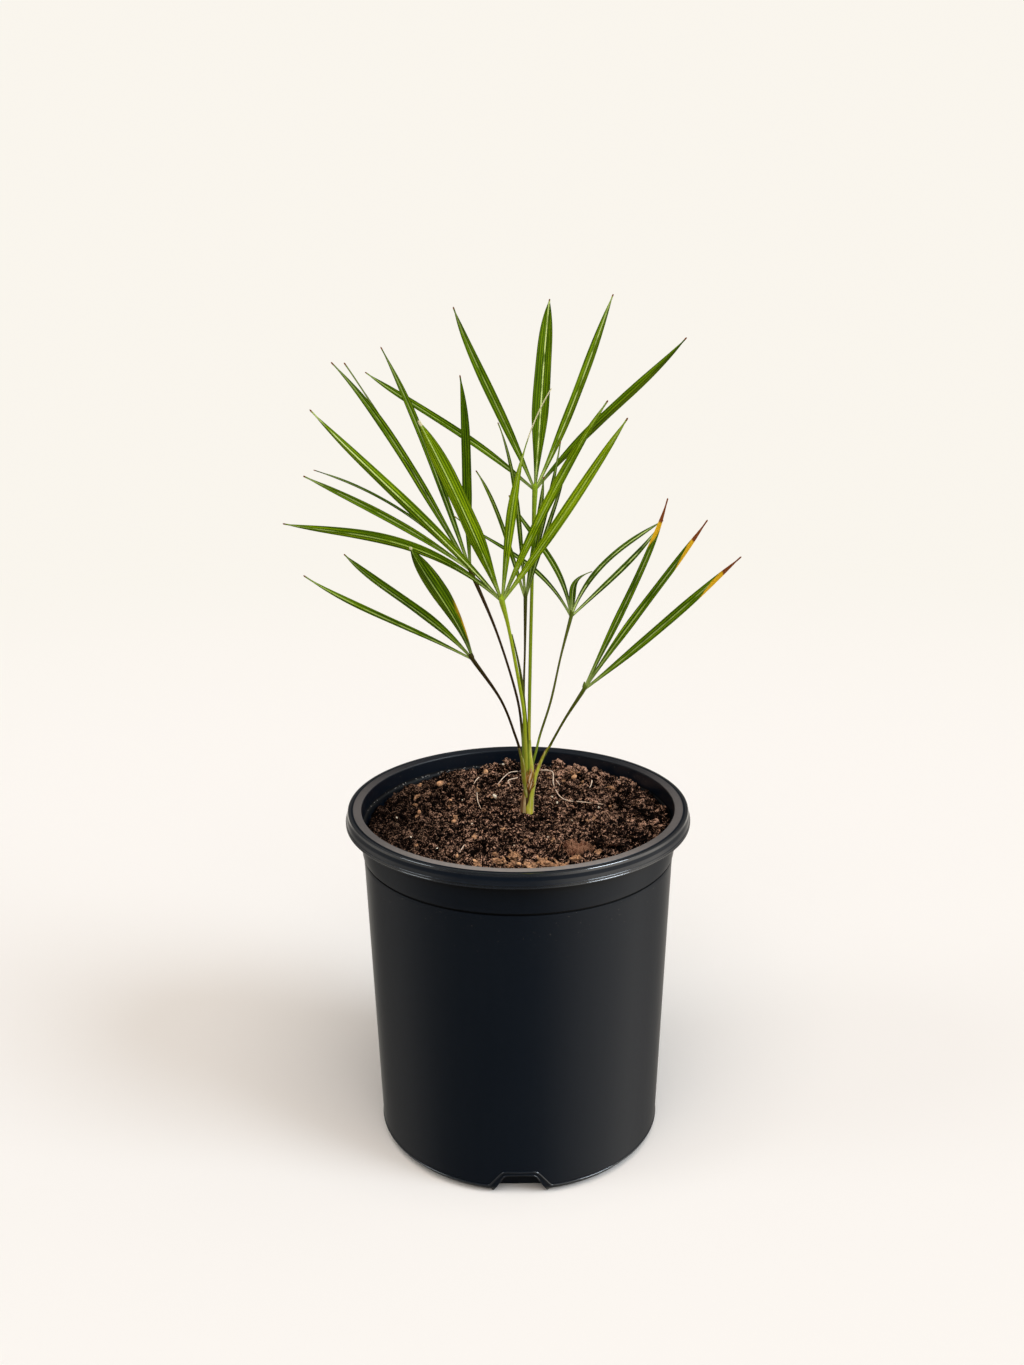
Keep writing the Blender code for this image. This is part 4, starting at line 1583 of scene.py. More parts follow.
    def make_fibres(self, sweeper: Sweeper) -> None:
        """Make the fine fibres of the peat: strays all over, and the reddish tuft at the right front.

        Args:
            sweeper: What sweeps the rods.
        """
        rng = random.Random(SEED + 10)
        lines = []
        while len(lines) < self.stray_fibres:
            lines.append(self.fibre(polar(*spot(rng, self.strewn_reach)), self.fibre_rise, rng))
        skin = GritSkin(light=(0.40, 0.26, 0.17), dark=(0.12, 0.055, 0.032), grain=(120.0, 120.0, 120.0))
        wear_on(sweeper.rods("soil_fibres", lines, skin.material("peat_fibre"), 4))
        lines = []
        for _ in range(self.tuft_fibres):
            place = tuple(at + rng.gauss(0.0, spread) for at, spread in zip(self.tuft, self.tuft_spread))
            lines.append(self.fibre(place, self.tuft_rise, rng))
        skin = GritSkin(light=(0.62, 0.34, 0.20), dark=(0.17, 0.055, 0.030), grain=(150.0, 150.0, 150.0))
        wear_on(sweeper.rods("soil_tuft", lines, skin.material("tuft_fibre"), 4))

    def fibre(self, place: Pair, rise: float, rng: random.Random) -> np.ndarray:
        """Return the places and radii of a short curled fibre that rises over the bed by up to a height.

        Args:
            place: Its middle, seen from above.
            rise: The height in mm.
            rng: The draws.

        Returns:
            A row for each place.
        """
        x, y = place
        spans = (self.fibre_lengths, (0.0, tau), (-1.2, 1.2), self.fibre_radii)
        length, turn, curl, radius = drawn(rng, 1.0, *spans)
        arch, tilt = drawn(rng, rise, (0.2, 0.9), (-1.0, 1.0))
        route = []
        for t in np.linspace(-0.5, 0.5, 5):
            dx, dy = polar(length * t, turn + curl * t)
            lift = 0.2 + arch * (1.0 - 4.0 * t * t) + tilt * t + rng.uniform(0.0, 0.3)
            height = self.clear_height(x + dx, y + dy, 0.8) + lift
            route.append((x + dx, y + dy, height, radius * (1.0 - abs(t))))
        return along(route, 10)

    def build(self, sweeper: Sweeper) -> None:
        """Build and dress the soil.

        Args:
            sweeper: What sweeps the rods.
        """
        material = SoilSkin().material("peat")
        bed = self.make_bed(material)
        crumbs = [self.strew(name, bed, material) for name in self.strewn]
        wear_on(bed, "soil")
        for piece in crumbs:
            wear_on(piece)
        wear_on(self.make_clods(material))
        self.make_bits()
        self.make_bark()
        self.make_fibres(sweeper)


@dataclass
class Roots:
    """Thin dry roots and fibres that lie on the soil."""

    soil: Soil
    radius: float = 0.30
    stray_radius: float = 0.27
    rise: float = 0.60
    routes: dict[str, tuple[Pair, ...]] = field(
        default_factory=lambda: {
            "root_right": (
                (12.4, 61.4), (14.8, 59.8), (18.7, 55.9), (18.9, 47.7), (18.6, 37.6), (19.9, 24.9),
                (22.1, 17.6), (25.3, 13), (30.5, 10.4), (36, 7.3), (42, 5),
            ),
            "root_left": ((1.5, 61.5), (-1.2, 58.5), (-5.2, 51.1), (-10.3, 36.6)),
        }
    )
    strays: tuple[tuple[Pair, ...], ...] = (
        ((-3.9, 67.8), (-3, 64), (-1.2, 60.1)),
        ((0.1, 46.6), (-3.3, 43.7), (-4.9, 39.4), (-3.3, 33.7)),
        ((-20.6, 22.7), (-20, 14), (-18.2, 5.2)),
        ((38.9, 42.9), (38.4, 39.5), (37, 35.7)),
        ((20.4, 43.2), (22, 37.4)),
        ((-20.2, 48.2), (-21.6, 43), (-22.5, 38.1)),
        ((60, 44), (54, 47), (50, 44)),
        ((-27, -46), (-25, -40)),
    )

    @staticmethod
    def beside(values: np.ndarray, reach: int) -> np.ndarray:
        """Return the values shifted by each step of up to a reach, a row for each."""
        spread = np.pad(values, reach, mode="edge")
        return np.array([spread[k:k + len(values)] for k in range(2 * reach + 1)])

    def laid(self, route: Sequence[Pair], radius: float, rng: random.Random) -> np.ndarray:
        """Lay a route over the soil and return its places and radii.

        Args:
            route: Places seen from above, in mm.
            radius: The radius at its start in mm.
            rng: The draws.

        Returns:
            A row for each place.
        """
        count = 10 * len(route)
        flat = along(route, count)
        heights = []
        for x, y in flat:
            probes = [(x, y), (x + 0.5, y), (x - 0.5, y), (x, y + 0.5), (x, y - 0.5)]
            heights.append(max(self.soil.drop(self.soil.surface, *probe) for probe in probes))
        top = self.beside(np.array(heights) + radius, 4).max(axis=0)
        lifted = self.beside(top, 12).mean(axis=0) + self.rise
        shares = np.linspace(0.0, 1.0, count)
        taper = radius * (1.0 - 0.45 * shares) * (1.0 + 0.10 * np.sin(9.0 * shares + rng.uniform(0.0, 6.0)))
        return np.column_stack([flat, lifted, taper])

    def build(self, sweeper: Sweeper) -> None:
        """Build and dress the roots.

        Args:
            sweeper: What sweeps the rods.
        """
        cream = (1.0, 0.80, 0.62)
        skin = StalkSkin(foot=cream, middle=cream, top=(0.82, 0.58, 0.42), contrast=0.25)
        material = skin.material("dry_root")
        rng = random.Random(SEED + 8)
        for name, route in self.routes.items():
            line = self.laid(route, self.radius, rng)
            wear_on(sweeper.rods(name + "_strand", [line], material, 8), name)
        lines = [self.laid(route, self.stray_radius, rng) for route in self.strays]
        wear_on(sweeper.rods("stray_fibres", lines, material, 6))


# Plant


class Tip(Enum):
    """How a blade ends."""

    SOUND = "a green point with a dry speck"
    PALE = "a white dry point"
    SCORCHED = "yellow, then brown over the last part"
    THREAD = "a dry thread"


@dataclass(frozen=True)
class Blade:
    """One blade: its angle from upright in the fan, its sizes, and how it bends, widens, folds and ends."""

    angle: float
    length: float
    width: float
    bow: float = 0.0
    hook: float = 0.0
    lift: float = 0.0
    roll: float = 0.0
    taper: float = 3.0
    swell: float = 0.42
    fold: float = 0.36
    tone: float = 0.5
    tip: Tip = Tip.SOUND
    yellow_side: float = 0.0
    yellow_edge: float = 0.0
    painted_shade_side: float = 0.0
    # How strongly one half of the blade is darkened by painted shade; its sign picks the half.
    midrib: float = 0.30

    root_width: ClassVar[float] = 1.3
    tip_width: ClassVar[float] = 0.72
    blunt_tip: ClassVar[float] = 1.3
    wane: ClassVar[float] = 0.45
    thickness: ClassVar[float] = 0.36
    row_length: ClassVar[float] = 1.5
    rib_spacing: ClassVar[float] = 1.15
    rib_depth: ClassVar[float] = 0.10
    crease_depth: ClassVar[float] = 0.10
    wave_depth: ClassVar[float] = 0.20

    def width_at(self, t: np.ndarray) -> np.ndarray:
        """Return the widths at shares of the length.

        Args:
            t: The shares, from 0 to 1.

        Returns:
            The widths in mm.
        """
        spread = self.root_width + (self.width - self.root_width) * smooth(t / self.swell)
        if self.tip is Tip.THREAD:
            return np.maximum(spread * (1.0 - smooth((t - 0.40) / 0.42)), 0.75 - 0.25 * t)
        tip = 1.0 - np.maximum((t - self.wane) / (1.0 - self.wane), 0.0) ** self.taper
        return np.maximum(spread * tip, self.blunt_tip if self.tip is Tip.PALE else self.tip_width)

    def line(self, t: np.ndarray, axes: np.ndarray) -> np.ndarray:
        """Return the middle line's places from the hub at shares of the length.

        Args:
            t: The shares, from 0 to 1.
            axes: The fan's right, up and facing directions.

        Returns:
            A row for each share.
        """
        right, up, facing = axes
        angle = radians(self.angle)
        forward = up * cos(angle) + right * sin(angle)
        side = right * cos(angle) - up * sin(angle)
        bend = self.bow * 4.0 * t * (1.0 - t) + self.hook * t**4
        return (
            forward * (self.length * t)[:, None]
            + side * bend[:, None]
            + facing * (self.lift * t * t)[:, None]
        )

    def wear(self, t: np.ndarray, across: np.ndarray) -> np.ndarray:
        """Return how brown, yellow and pale the blade is at its points, each from 0 to 1.

        Args:
            t: The shares, from 0 to 1.
            across: The places across the blade, from -1 to 1.

        Returns:
            Three numbers for each point.
        """
        worn = np.zeros((*across.shape, 3))
        t = np.broadcast_to(t[:, None], across.shape)
        worn[..., 0] = 0.7 * smooth((t - 0.975) / 0.02)
        band = smooth((t - 0.08) / 0.12) * smooth((0.62 - t) / 0.20)
        edge = smooth((across * np.sign(self.yellow_edge) - 0.45) / 0.4)
        worn[..., 1] = abs(self.yellow_edge) * band * edge
        if self.tip is Tip.SCORCHED:
            worn[..., 0] = smooth((t - 0.86) / 0.05)
            worn[..., 1] = smooth((t - 0.76 + 0.10 * self.yellow_side * across) / 0.08)
        elif self.tip is Tip.PALE:
            worn[..., 0] = 0.0
            worn[..., 2] = smooth((t - 0.972) / 0.012)
        elif self.tip is Tip.THREAD:
            worn[..., 0] = 0.0
            worn[..., 2] = 0.75 * smooth((t - 0.70) / 0.12)
        return worn

    def shadow(self, u: np.ndarray) -> np.ndarray:
        """Return the painted shade across the blade's width: along its edges, and over its shaded half."""
        edges = 0.48 * smooth((np.abs(u) - 0.66) / 0.34)
        return np.maximum(edges, abs(self.painted_shade_side) * smooth(u * np.sign(self.painted_shade_side) / 0.16 + 0.5))

    def add_to(self, solid: Solid, hub: np.ndarray, axes: np.ndarray, cup: int, rng: random.Random) -> None:
        """Add the blade to a frond.

        Args:
            solid: The frond's blades.
            hub: Where the blades meet.
            axes: The right, up and facing directions of the fan.
            cup: The side that the fold opens to.
            rng: The draws.
        """
        ribs = max(round(self.width / self.rib_spacing), 2)
        cells = max(4 * ribs, 12)
        count = max(int(self.length / self.row_length), 44)
        t = np.linspace(0.0, 1.0, count)
        middle = self.line(t, axes)
        ahead = unit(self.line(t + 0.01, axes) - self.line(t - 0.01, axes))
        side = unit(np.cross(ahead, axes[2]))
        roll = (radians(self.roll) * smooth(t / 0.4))[:, None]
        side = side * np.cos(roll) + np.cross(ahead, side) * np.sin(roll)
        upright = np.cross(side, ahead)
        shift = rng.uniform(0.0, 20.0)
        half = 0.5 * self.width_at(t)
        half = half * (1.0 + 0.025 * np.sin(t * self.length / 6.5 + shift) * smooth(t / 0.2))
        u = np.linspace(-1.0, 1.0, cells + 1)
        u = np.concatenate([u, u[::-1]])
        face = np.concatenate([np.ones(cells + 1), -np.ones(cells + 1)])
        across = half[:, None] * u
        flat = smooth(half / 1.3)[:, None]
        groove = np.cos(pi * ribs * u) * (1.0 - np.abs(u) ** 6)
        rise = cup * half[:, None] * self.fold * (np.abs(u) - 0.5) * flat
        rise = rise + self.rib_depth * groove * smooth(half / 1.6)[:, None]
        rise = rise - cup * self.crease_depth * np.exp(-((across / 0.22) ** 2)) * flat
        wave = self.wave_depth * np.sin(t * self.length / 11.0 + shift)[:, None] * u
        wave = wave * smooth(t / 0.3)[:, None]
        wall = self.thickness * (1.0 - 0.55 * u**4) * np.minimum(half / 0.8, 1.0)[:, None]
        height = rise + wave * flat + 0.5 * face * wall
        rings = hub + middle[:, None] + side[:, None] * across[..., None]
        rings = rings + upright[:, None] * height[..., None]
        lengths = np.broadcast_to((t * self.length)[:, None], across.shape)
        place = np.stack([across, lengths, np.full(across.shape, self.tone)], -1)
        tip = hub + middle[-1] + ahead[-1] * 0.5
        spread = np.broadcast_to(u, across.shape)
        # The second value is the painted shade across the blade.
        rib_and_shade = np.stack([ribs * spread, self.shadow(spread), np.full(across.shape, self.midrib)], -1)
        solid.loft(rings, tip, {"place": place, "rib_and_shade": rib_and_shade, "wear": self.wear(t, spread)})


@dataclass(frozen=True)
class Frond:
    """One frond: the plane of its fan, its stalk, its blades and its finishes."""

    node: str
    slot: str
    turn: float
    lean: float
    cup: int
    stalk: Route
    stalk_skin: StalkSkin
    leaf_skin: LeafSkin
    blades: tuple[Blade, ...]

    def axes(self) -> np.ndarray:
        """Return the right, up and facing directions of the fan's plane.

        Returns:
            A row for each direction.
        """
        turn, lean = radians(self.turn), radians(self.lean)
        facing = np.array([sin(turn), -cos(turn), 0.0])
        right = np.array([cos(turn), sin(turn), 0.0])
        upright = np.array([0.0, 0.0, 1.0])
        up = upright * cos(lean) - facing * sin(lean)
        return np.array([right, up, facing * cos(lean) + upright * sin(lean)])

    def build(self, sweeper: Sweeper) -> None:
        """Build and dress the frond.

        Args:
            sweeper: What sweeps the rods.
        """
        name = self.node.replace("frond_", "")
        axes = self.axes()
        hub = np.array(self.stalk[-1][:3])
        rng = random.Random(self.node)
        solid = Solid()
        for blade in self.blades:
            blade.add_to(solid, hub, axes, self.cup, rng)
        blades = solid.build(name + "_blades", self.leaf_skin.material(name + "_leaf"), 70.0)
        wear_on(blades, self.node)
        width = self.stalk[-1][3]
        beyond = [(*(hub + axes[1] * 1.6), 1.25 * width), (*(hub + axes[1] * 4.0), 0.3)]
        route = list(self.stalk[:-1]) + [(*hub, 1.5 * width)] + beyond
        name += "_stalk"
        wear_on(sweeper.rod(name, route, self.stalk_skin.material(name), 90, 14, 0.86))


BRIGHT = LeafSkin(deep=(0.045, 0.094, 0.001), green=(0.128, 0.222, 0.002), light=(0.285, 0.410, 0.006))
GREEN = LeafSkin(deep=(0.026, 0.058, 0.001), green=(0.076, 0.148, 0.0015), light=(0.180, 0.285, 0.005))
DARK = LeafSkin(deep=(0.016, 0.036, 0.001), green=(0.054, 0.112, 0.0012), light=(0.135, 0.220, 0.004))
LIME_STALK = StalkSkin(foot=(0.40, 0.42, 0.04), middle=(0.33, 0.42, 0.015), top=(0.28, 0.40, 0.02))
PALE_STALK = StalkSkin(foot=(0.44, 0.44, 0.04), middle=(0.19, 0.26, 0.008), top=(0.22, 0.34, 0.016))
BROWN_STALK = StalkSkin(foot=(0.18, 0.22, 0.015), middle=(0.034, 0.018, 0.004), top=(0.040, 0.034, 0.004))
OLIVE_STALK = StalkSkin(foot=(0.22, 0.30, 0.025), middle=(0.048, 0.040, 0.005), top=(0.060, 0.080, 0.006))
DULL_STALK = StalkSkin(foot=(0.22, 0.30, 0.025), middle=(0.085, 0.098, 0.008), top=(0.080, 0.120, 0.008))

FRONDS = (
    Frond(
        node="frond_front", slot="leaf_bright", turn=-8, lean=-12, cup=-1,
        stalk=(
            (4, -2.9, 184, 0.9), (4.1, -3.3, 194, 0.9), (3.7, -5.4, 208, 0.85), (3.1, -8.4, 221, 0.82),
            (1.3, -12.2, 234.5, 0.82), (-3.7, -23.4, 266, 0.8), (-6.7, -30, 280.5, 0.9),
        ),
        stalk_skin=LIME_STALK, leaf_skin=BRIGHT,
        blades=(
            Blade(-80, 101, 4.8, bow=18, hook=18, tone=0.15),
            Blade(-45, 117, 4.6, bow=3.5, hook=6, roll=15, taper=2.8, fold=0.6, tone=0.3, midrib=0.9),
            Blade(-20, 90, 7.7, bow=1, lift=6, taper=4.2, tone=0.5, tip=Tip.PALE, midrib=0.5),
            Blade(7, 97, 4.4, hook=11.5, lift=-6, tone=0.85, tip=Tip.THREAD),
            Blade(26, 103, 4.2, bow=-1.5, hook=2, tone=0.70),
            Blade(32, 102, 4.5, bow=1.5, hook=1.5, lift=4, tone=1.0),
        ),
    ),
    Frond(
        node="frond_low_left", slot="leaf_green", turn=-15, lean=-25, cup=-1,
        stalk=(
            (4.1, -2.5, 176, 0.85), (2.9, -4.2, 187, 0.95), (1.8, -7.7, 199, 0.8),
            (-0.9, -13.2, 211, 0.66), (-7.6, -26.6, 233.5, 0.65), (-19.6, -45, 258, 0.7),
        ),
        stalk_skin=BROWN_STALK, leaf_skin=GREEN,
        blades=(
            Blade(
                -24, 62, 8.6, bow=5, hook=7, taper=4.0, swell=0.62, tone=0.3, tip=Tip.PALE,
                yellow_edge=0.52, painted_shade_side=-0.35,
            ),
            Blade(-52, 72, 5.1, bow=7, hook=12.5, taper=3.2, tone=0.35),
            Blade(-63, 81, 2.8, bow=2, hook=9, lift=4, roll=20, tone=0.6),
        ),
    ),
    Frond(
        node="frond_back_left", slot="leaf_dark", turn=12, lean=8, cup=1,
        stalk=(
            (3, 3, 184, 0.75), (2.9, 3.1, 194, 0.75), (2.2, 3.8, 208, 0.7),
            (-0.5, 4.9, 226.5, 0.65), (-10, 8.2, 257.5, 0.65), (-21.9, 12, 286, 0.75),
        ),
        stalk_skin=BROWN_STALK, leaf_skin=DARK,
        blades=(
            Blade(-60, 89, 3.6, bow=3.5, hook=2.5, lift=5, tone=0.8),
            Blade(-55, 86, 3.0, bow=6, lift=-5, roll=62, tone=0.0),
            Blade(-28, 114, 4.2, hook=-7.5, roll=10, tone=0.75),
            Blade(-28, 111, 1.8, hook=-2.4, lift=-1, taper=1.8, tone=0.0, painted_shade_side=-0.5),
            Blade(-18, 110, 3.9, bow=0.5, hook=-3.5, roll=20, tone=0.35),
            Blade(3, 90, 4.5, bow=-2, hook=-6, taper=3.4, tone=0.45, midrib=0.0),
        ),
    ),
    Frond(
        node="frond_top", slot="leaf_green", turn=-10, lean=27, cup=1,
        stalk=(
            (5.7, -0.2, 184, 1.05), (5.8, -0.2, 194, 1.05), (5.6, 0.5, 206, 0.95), (6, 1.8, 232, 0.95),
            (6.8, 4.4, 266, 0.95), (7.9, 7.6, 304, 0.95), (8.7, 10, 324, 1),
        ),
        stalk_skin=PALE_STALK, leaf_skin=GREEN,
        blades=(
            Blade(-60, 104, 4.4, bow=4.5, hook=6.5, roll=25, tone=0.3),
            Blade(-30, 102, 4.7, bow=2, hook=5.5, tone=0.45),
            Blade(-1, 95, 7.9, bow=0.5, hook=2, taper=4.0, tone=0.45, midrib=1.0),
            Blade(16, 102, 4.5, bow=2.5, hook=2.5, tone=0.8, midrib=0.6, painted_shade_side=0.35),
            Blade(46, 100, 4.3, bow=-5, hook=-8.5, roll=15, fold=0.6, tone=0.6, painted_shade_side=0.62, midrib=0.0),
        ),
    ),
    Frond(
        node="frond_middle", slot="leaf_dark", turn=-35, lean=6, cup=1,
        stalk=(
            (2.7, 0.5, 184, 0.7), (2.8, 0.5, 194, 0.7), (3, 0.2, 210, 0.65),
            (3.2, -0.5, 234, 0.6), (3.7, -1.2, 251, 0.6), (4, -2, 275, 0.7),
        ),
        stalk_skin=OLIVE_STALK, leaf_skin=DARK,
        blades=(
            Blade(-9, 82, 2.4, hook=-8, taper=3.4, tone=0.5),
            Blade(12, 58, 3.0, bow=-1, hook=-2, lift=6, roll=30, tone=0.6),
            Blade(13, 74, 2.0, bow=-1, hook=-4, lift=-2, roll=30, tone=0.3),
            Blade(19, 64, 2.0, bow=-1.5, hook=-3, roll=40, tone=0.2),
            Blade(-24, 65, 2.6, hook=-6, taper=3.2, tone=0.75),
        ),
    ),
    Frond(
        node="frond_back_right", slot="leaf_dark", turn=0, lean=50, cup=1,
        stalk=(
            (6.3, 2, 184, 0.7), (7.2, 2.4, 191, 0.7), (9.1, 3.7, 198, 0.7), (11.2, 5.9, 206, 0.65),
            (16.5, 11.2, 221.5, 0.65), (21.5, 19.4, 241.5, 0.6), (26.7, 28, 259, 0.7),
        ),
        stalk_skin=DULL_STALK, leaf_skin=DARK,
        blades=(
            Blade(-54, 85, 2.5, bow=14, hook=18, taper=2.0, tone=0.3),
            Blade(-34, 82, 3.3, bow=12, hook=19, taper=2.0, tone=0.3),
            Blade(-4, 38, 3.4, bow=2, hook=15, lift=-14, taper=1.6, tone=0.2),
            Blade(44, 78, 3.0, bow=-10, hook=-7, tone=0.1, midrib=0.6),
            Blade(45, 71, 2.8, bow=-1, hook=-5, lift=5, tone=0.2, midrib=0.6),
        ),
    ),
    Frond(
        node="frond_low_right", slot="leaf_green", turn=-20, lean=20, cup=1,
        stalk=(
            (6.7, -0.9, 174, 1), (7.3, -1.1, 181, 1), (10.1, -1.5, 191.4, 0.85),
            (15.6, -3.1, 203, 0.72), (22.6, -6.2, 217.5, 0.7), (31.1, -10, 233, 0.75),
        ),
        stalk_skin=DULL_STALK, leaf_skin=GREEN,
        blades=(
            Blade(22, 97, 3.6, bow=-1, hook=-6.5, tone=0.20, tip=Tip.SCORCHED, yellow_side=-0.5),
            Blade(33, 97, 3.8, bow=-2, hook=-3.5, tone=0.25, tip=Tip.SCORCHED, yellow_side=0.8),
            Blade(44, 95, 4.2, bow=1.5, hook=1.5, tone=0.45, tip=Tip.SCORCHED, yellow_side=0.8),
        ),
    ),
)

SPEAR_ROUTE: Route = (
    (5.2, -2.7, 184, 0.6), (5.1, -3.4, 200, 0.6), (4.1, -5.4, 216, 0.65),
    (2.3, -9, 235.5, 0.65), (0.3, -13.4, 249, 0.5), (-2.4, -18.6, 262.5, 0.3),
)


@dataclass(frozen=True)
class Sheath:
    """A leaf base that wraps its stalk like a gutter, open at its back.

    Its route holds places, half widths and depths in mm.
    """

    name: str
    skin: StalkSkin
    route: tuple[tuple[float, float, float, float, float], ...]
    turn: float = 0.0
    wrap: float = 105.0
    wall: float = 0.28
    ragged: float = 0.0

    def build(self) -> None:
        """Build and dress the sheath."""
        rows, columns = 48, 21
        line = along(self.route, rows)
        s = np.linspace(-1.0, 1.0, columns)
        angle = radians(self.turn) + s * radians(self.wrap)
        shares = np.linspace(0.0, 1.0, rows)
        tear = self.ragged * (np.sin(9.0 * s) + 0.6 * np.sin(23.0 * s + 1.0))
        outer, inner = [], []
        for share, (x, y, z, width, depth) in zip(shares, line):
            crimp = 1.0 + 0.03 * np.sin(5.0 * s + 9.0 * share)
            wall = self.wall * (1.0 - 0.75 * np.abs(s) ** 3) * min(1.0, width)
            height = z + tear * share**3
            for ring, thick in ((outer, wall), (inner, 0.0)):
                across = x + (width * crimp - self.wall + thick) * np.sin(angle)
                away = y - (depth * crimp - self.wall + thick) * np.cos(angle)
                ring.append(np.stack([across, away, height], -1))
        rings = np.concatenate([np.array(outer), np.array(inner)[:, ::-1]], axis=1)
        sides = np.concatenate([s, s[::-1]])
        marks = [np.broadcast_to(mark, rings.shape[:2]) for mark in (shares[:, None], np.abs(sides), sides)]
        solid = Solid()
        solid.loft(rings, None, {"share": np.stack(marks, -1)})
        wear_on(solid.build(self.name, self.skin.material(self.name), 60.0))


@dataclass
class Stem:
    """The stump of wrapped leaf bases: its core, the sheaths round it and the dry fibre between them."""

    route: Route = (
        (4.9, 0, 140, 2.4), (4.9, 0, 160, 3.1), (4.8, 0, 166, 3.1), (5.1, 0, 171, 2.7),
        (5.2, -0.3, 175, 2.4), (5.1, -0.6, 180, 2.2), (5.2, -0.7, 186, 1.9), (5, -0.7, 192, 1.4),
    )
    depth_stretch: float = 1.35
    sheaths: tuple[Sheath, ...] = (
        Sheath(
            "stem_right_sheath",
            StalkSkin(
                foot=(0.62, 0.58, 0.06), middle=(0.52, 0.54, 0.06), top=(0.24, 0.27, 0.025),
                margin_and_highlight=(0.92, 0.80, 0.48),
            ),
            (
                (5.35, -0.9, 161, 2.60, 3.9), (5.35, -0.9, 168, 2.55, 3.8), (5.45, -1, 171, 2.40, 3.4),
                (6.1, -1.3, 173.7, 1.8, 3), (6.5, -1.5, 176.4, 1.45, 2.7), (6.9, -1.6, 179.8, 1.5, 2.3),
                (8.2, -1.6, 186.4, 1.3, 1.7), (9.8, -1.7, 190.8, 1.05, 1.3), (11.5, -2, 195.4, 0.9, 1),
                (14, -2.7, 200.8, 0.82, 0.86), (16.2, -3.3, 203.6, 0.74, 0.76),
            ),
            turn=8.0,
        ),
        Sheath(
            "stem_left_sheath",
            StalkSkin(
                foot=(0.36, 0.36, 0.04), middle=(0.28, 0.29, 0.03), top=(0.10, 0.08, 0.016),
                margin_and_highlight=(0.58, 0.54, 0.18),
            ),
            (
                (4.2, -2.6, 176.5, 0.9, 1.2), (3.9, -2.9, 181, 1.15, 1.4), (3, -3.9, 187, 1.2, 1.3),
                (2.6, -5.4, 192.6, 1.15, 1.2), (1.9, -7.4, 198.5, 0.92, 0.95),
                (0.5, -10.2, 204.5, 0.72, 0.75),
            ),
            turn=-10.0, wrap=100.0,
        ),
        Sheath(
            "stem_middle_sheath",
            StalkSkin(
                foot=(0.62, 0.55, 0.07), middle=(0.50, 0.52, 0.06), top=(0.22, 0.28, 0.02),
                margin_and_highlight=(0.80, 0.74, 0.26),
            ),
            (
                (6.5, -1.1, 186, 1.60, 1.9), (6.5, -1, 190.5, 1.55, 1.75), (6.1, -0.8, 195, 1.30, 1.35),
                (5.8, -0.4, 199.5, 1.12, 1.15), (5.65, 0.2, 205, 1.02, 1.04),
            ),
            turn=6.0,
        ),
        Sheath(
            "stem_dry_sheath",
            StalkSkin(
                foot=(0.30, 0.17, 0.07), middle=(0.22, 0.11, 0.045), top=(0.42, 0.28, 0.13),
                margin_and_highlight=(0.50, 0.36, 0.17),
            ),
            (
                (3.7, -0.8, 161, 2.5, 3.7), (3.6, -0.8, 168, 2.5, 3.6), (3.6, -0.9, 173, 2.1, 3.1),
                (3.8, -1, 177, 1.6, 2.6), (4.1, -1, 180.5, 1.1, 2.2),
            ),
            turn=-62.0, wrap=70.0, ragged=0.8,
        ),
    )

    def build(self, sweeper: Sweeper) -> None:
        """Build and dress the stump.

        Args:
            sweeper: What sweeps the rods.
        """
        core_skin = StalkSkin(foot=(0.20, 0.15, 0.04), middle=(0.10, 0.062, 0.022), top=(0.16, 0.12, 0.04))
        core = sweeper.rod("stem_core", self.route, core_skin.material("stem_core"), 40, 24, 1.0)
        for vert in core.data.vertices:
            vert.co.y *= self.depth_stretch
        wear_on(core, "stem")
        for sheath in self.sheaths:
            sheath.build()
        for shade, skin, count, reach, seed in (
            ("pale", ((0.60, 0.32, 0.10), (0.98, 0.80, 0.50), (1.0, 0.88, 0.60)), 22, 0.55, 9),
            ("tan", ((0.16, 0.060, 0.012), (0.50, 0.23, 0.050), (0.66, 0.38, 0.11)), 44, 1.0, 11),
            ("brown", ((0.06, 0.022, 0.006), (0.11, 0.042, 0.010), (0.24, 0.11, 0.03)), 34, 1.15, 12),
        ):
            name = f"stem_{shade}_fibres"
            lines = self.fibre_lines(count, reach, random.Random(SEED + seed))
            wear_on(sweeper.rods(name, lines, StalkSkin(*skin).material(name), 5))

    def fibre_lines(self, count: int, reach: float, rng: random.Random) -> list[np.ndarray]:
        """Return fibres that spread upward from a point on the stump's front, like an upturned fan.

        Args:
            count: How many.
            reach: How far they spread, to either side.
            rng: The draws.

        Returns:
            The places and radii of each.
        """
        lines = []
        for _ in range(count):
            spread = rng.uniform(-reach, reach)
            top = rng.uniform(184.5, 192.5) - 1.5 * spread * spread
            foot = rng.uniform(178.5, 183.0)
            ahead = rng.uniform(3.2, 3.9)
            radius = rng.uniform(0.10, 0.24)
            x = 5.3 + 0.5 * spread
            route = (
                (x, -ahead, foot, radius),
                (x + 1.1 * spread, -ahead - 0.5, 0.5 * (foot + top), radius),
                (6.2 + 2.1 * spread, -ahead - rng.uniform(0.1, 0.7), top, 0.35 * radius),
            )
            lines.append(along(route, 9))
        return lines


# Studio


@dataclass(frozen=True)
class Sun:
    """A soft light that shines from one direction, evenly over the whole floor."""

    name: str
    comes_from: Triple
    strength: float
    angle: float
    colour: Colour
    glossy: bool = True

    def build(self) -> None:
        """Make the light."""
        data = bpy.data.lights.new(self.name, "SUN")
        data.energy = self.strength
        data.angle = radians(self.angle)
        data.color = self.colour
        light = linked(self.name, data)
        light.visible_glossy = self.glossy
        light.rotation_euler = Vector(self.comes_from).to_track_quat("Z", "Y").to_euler()


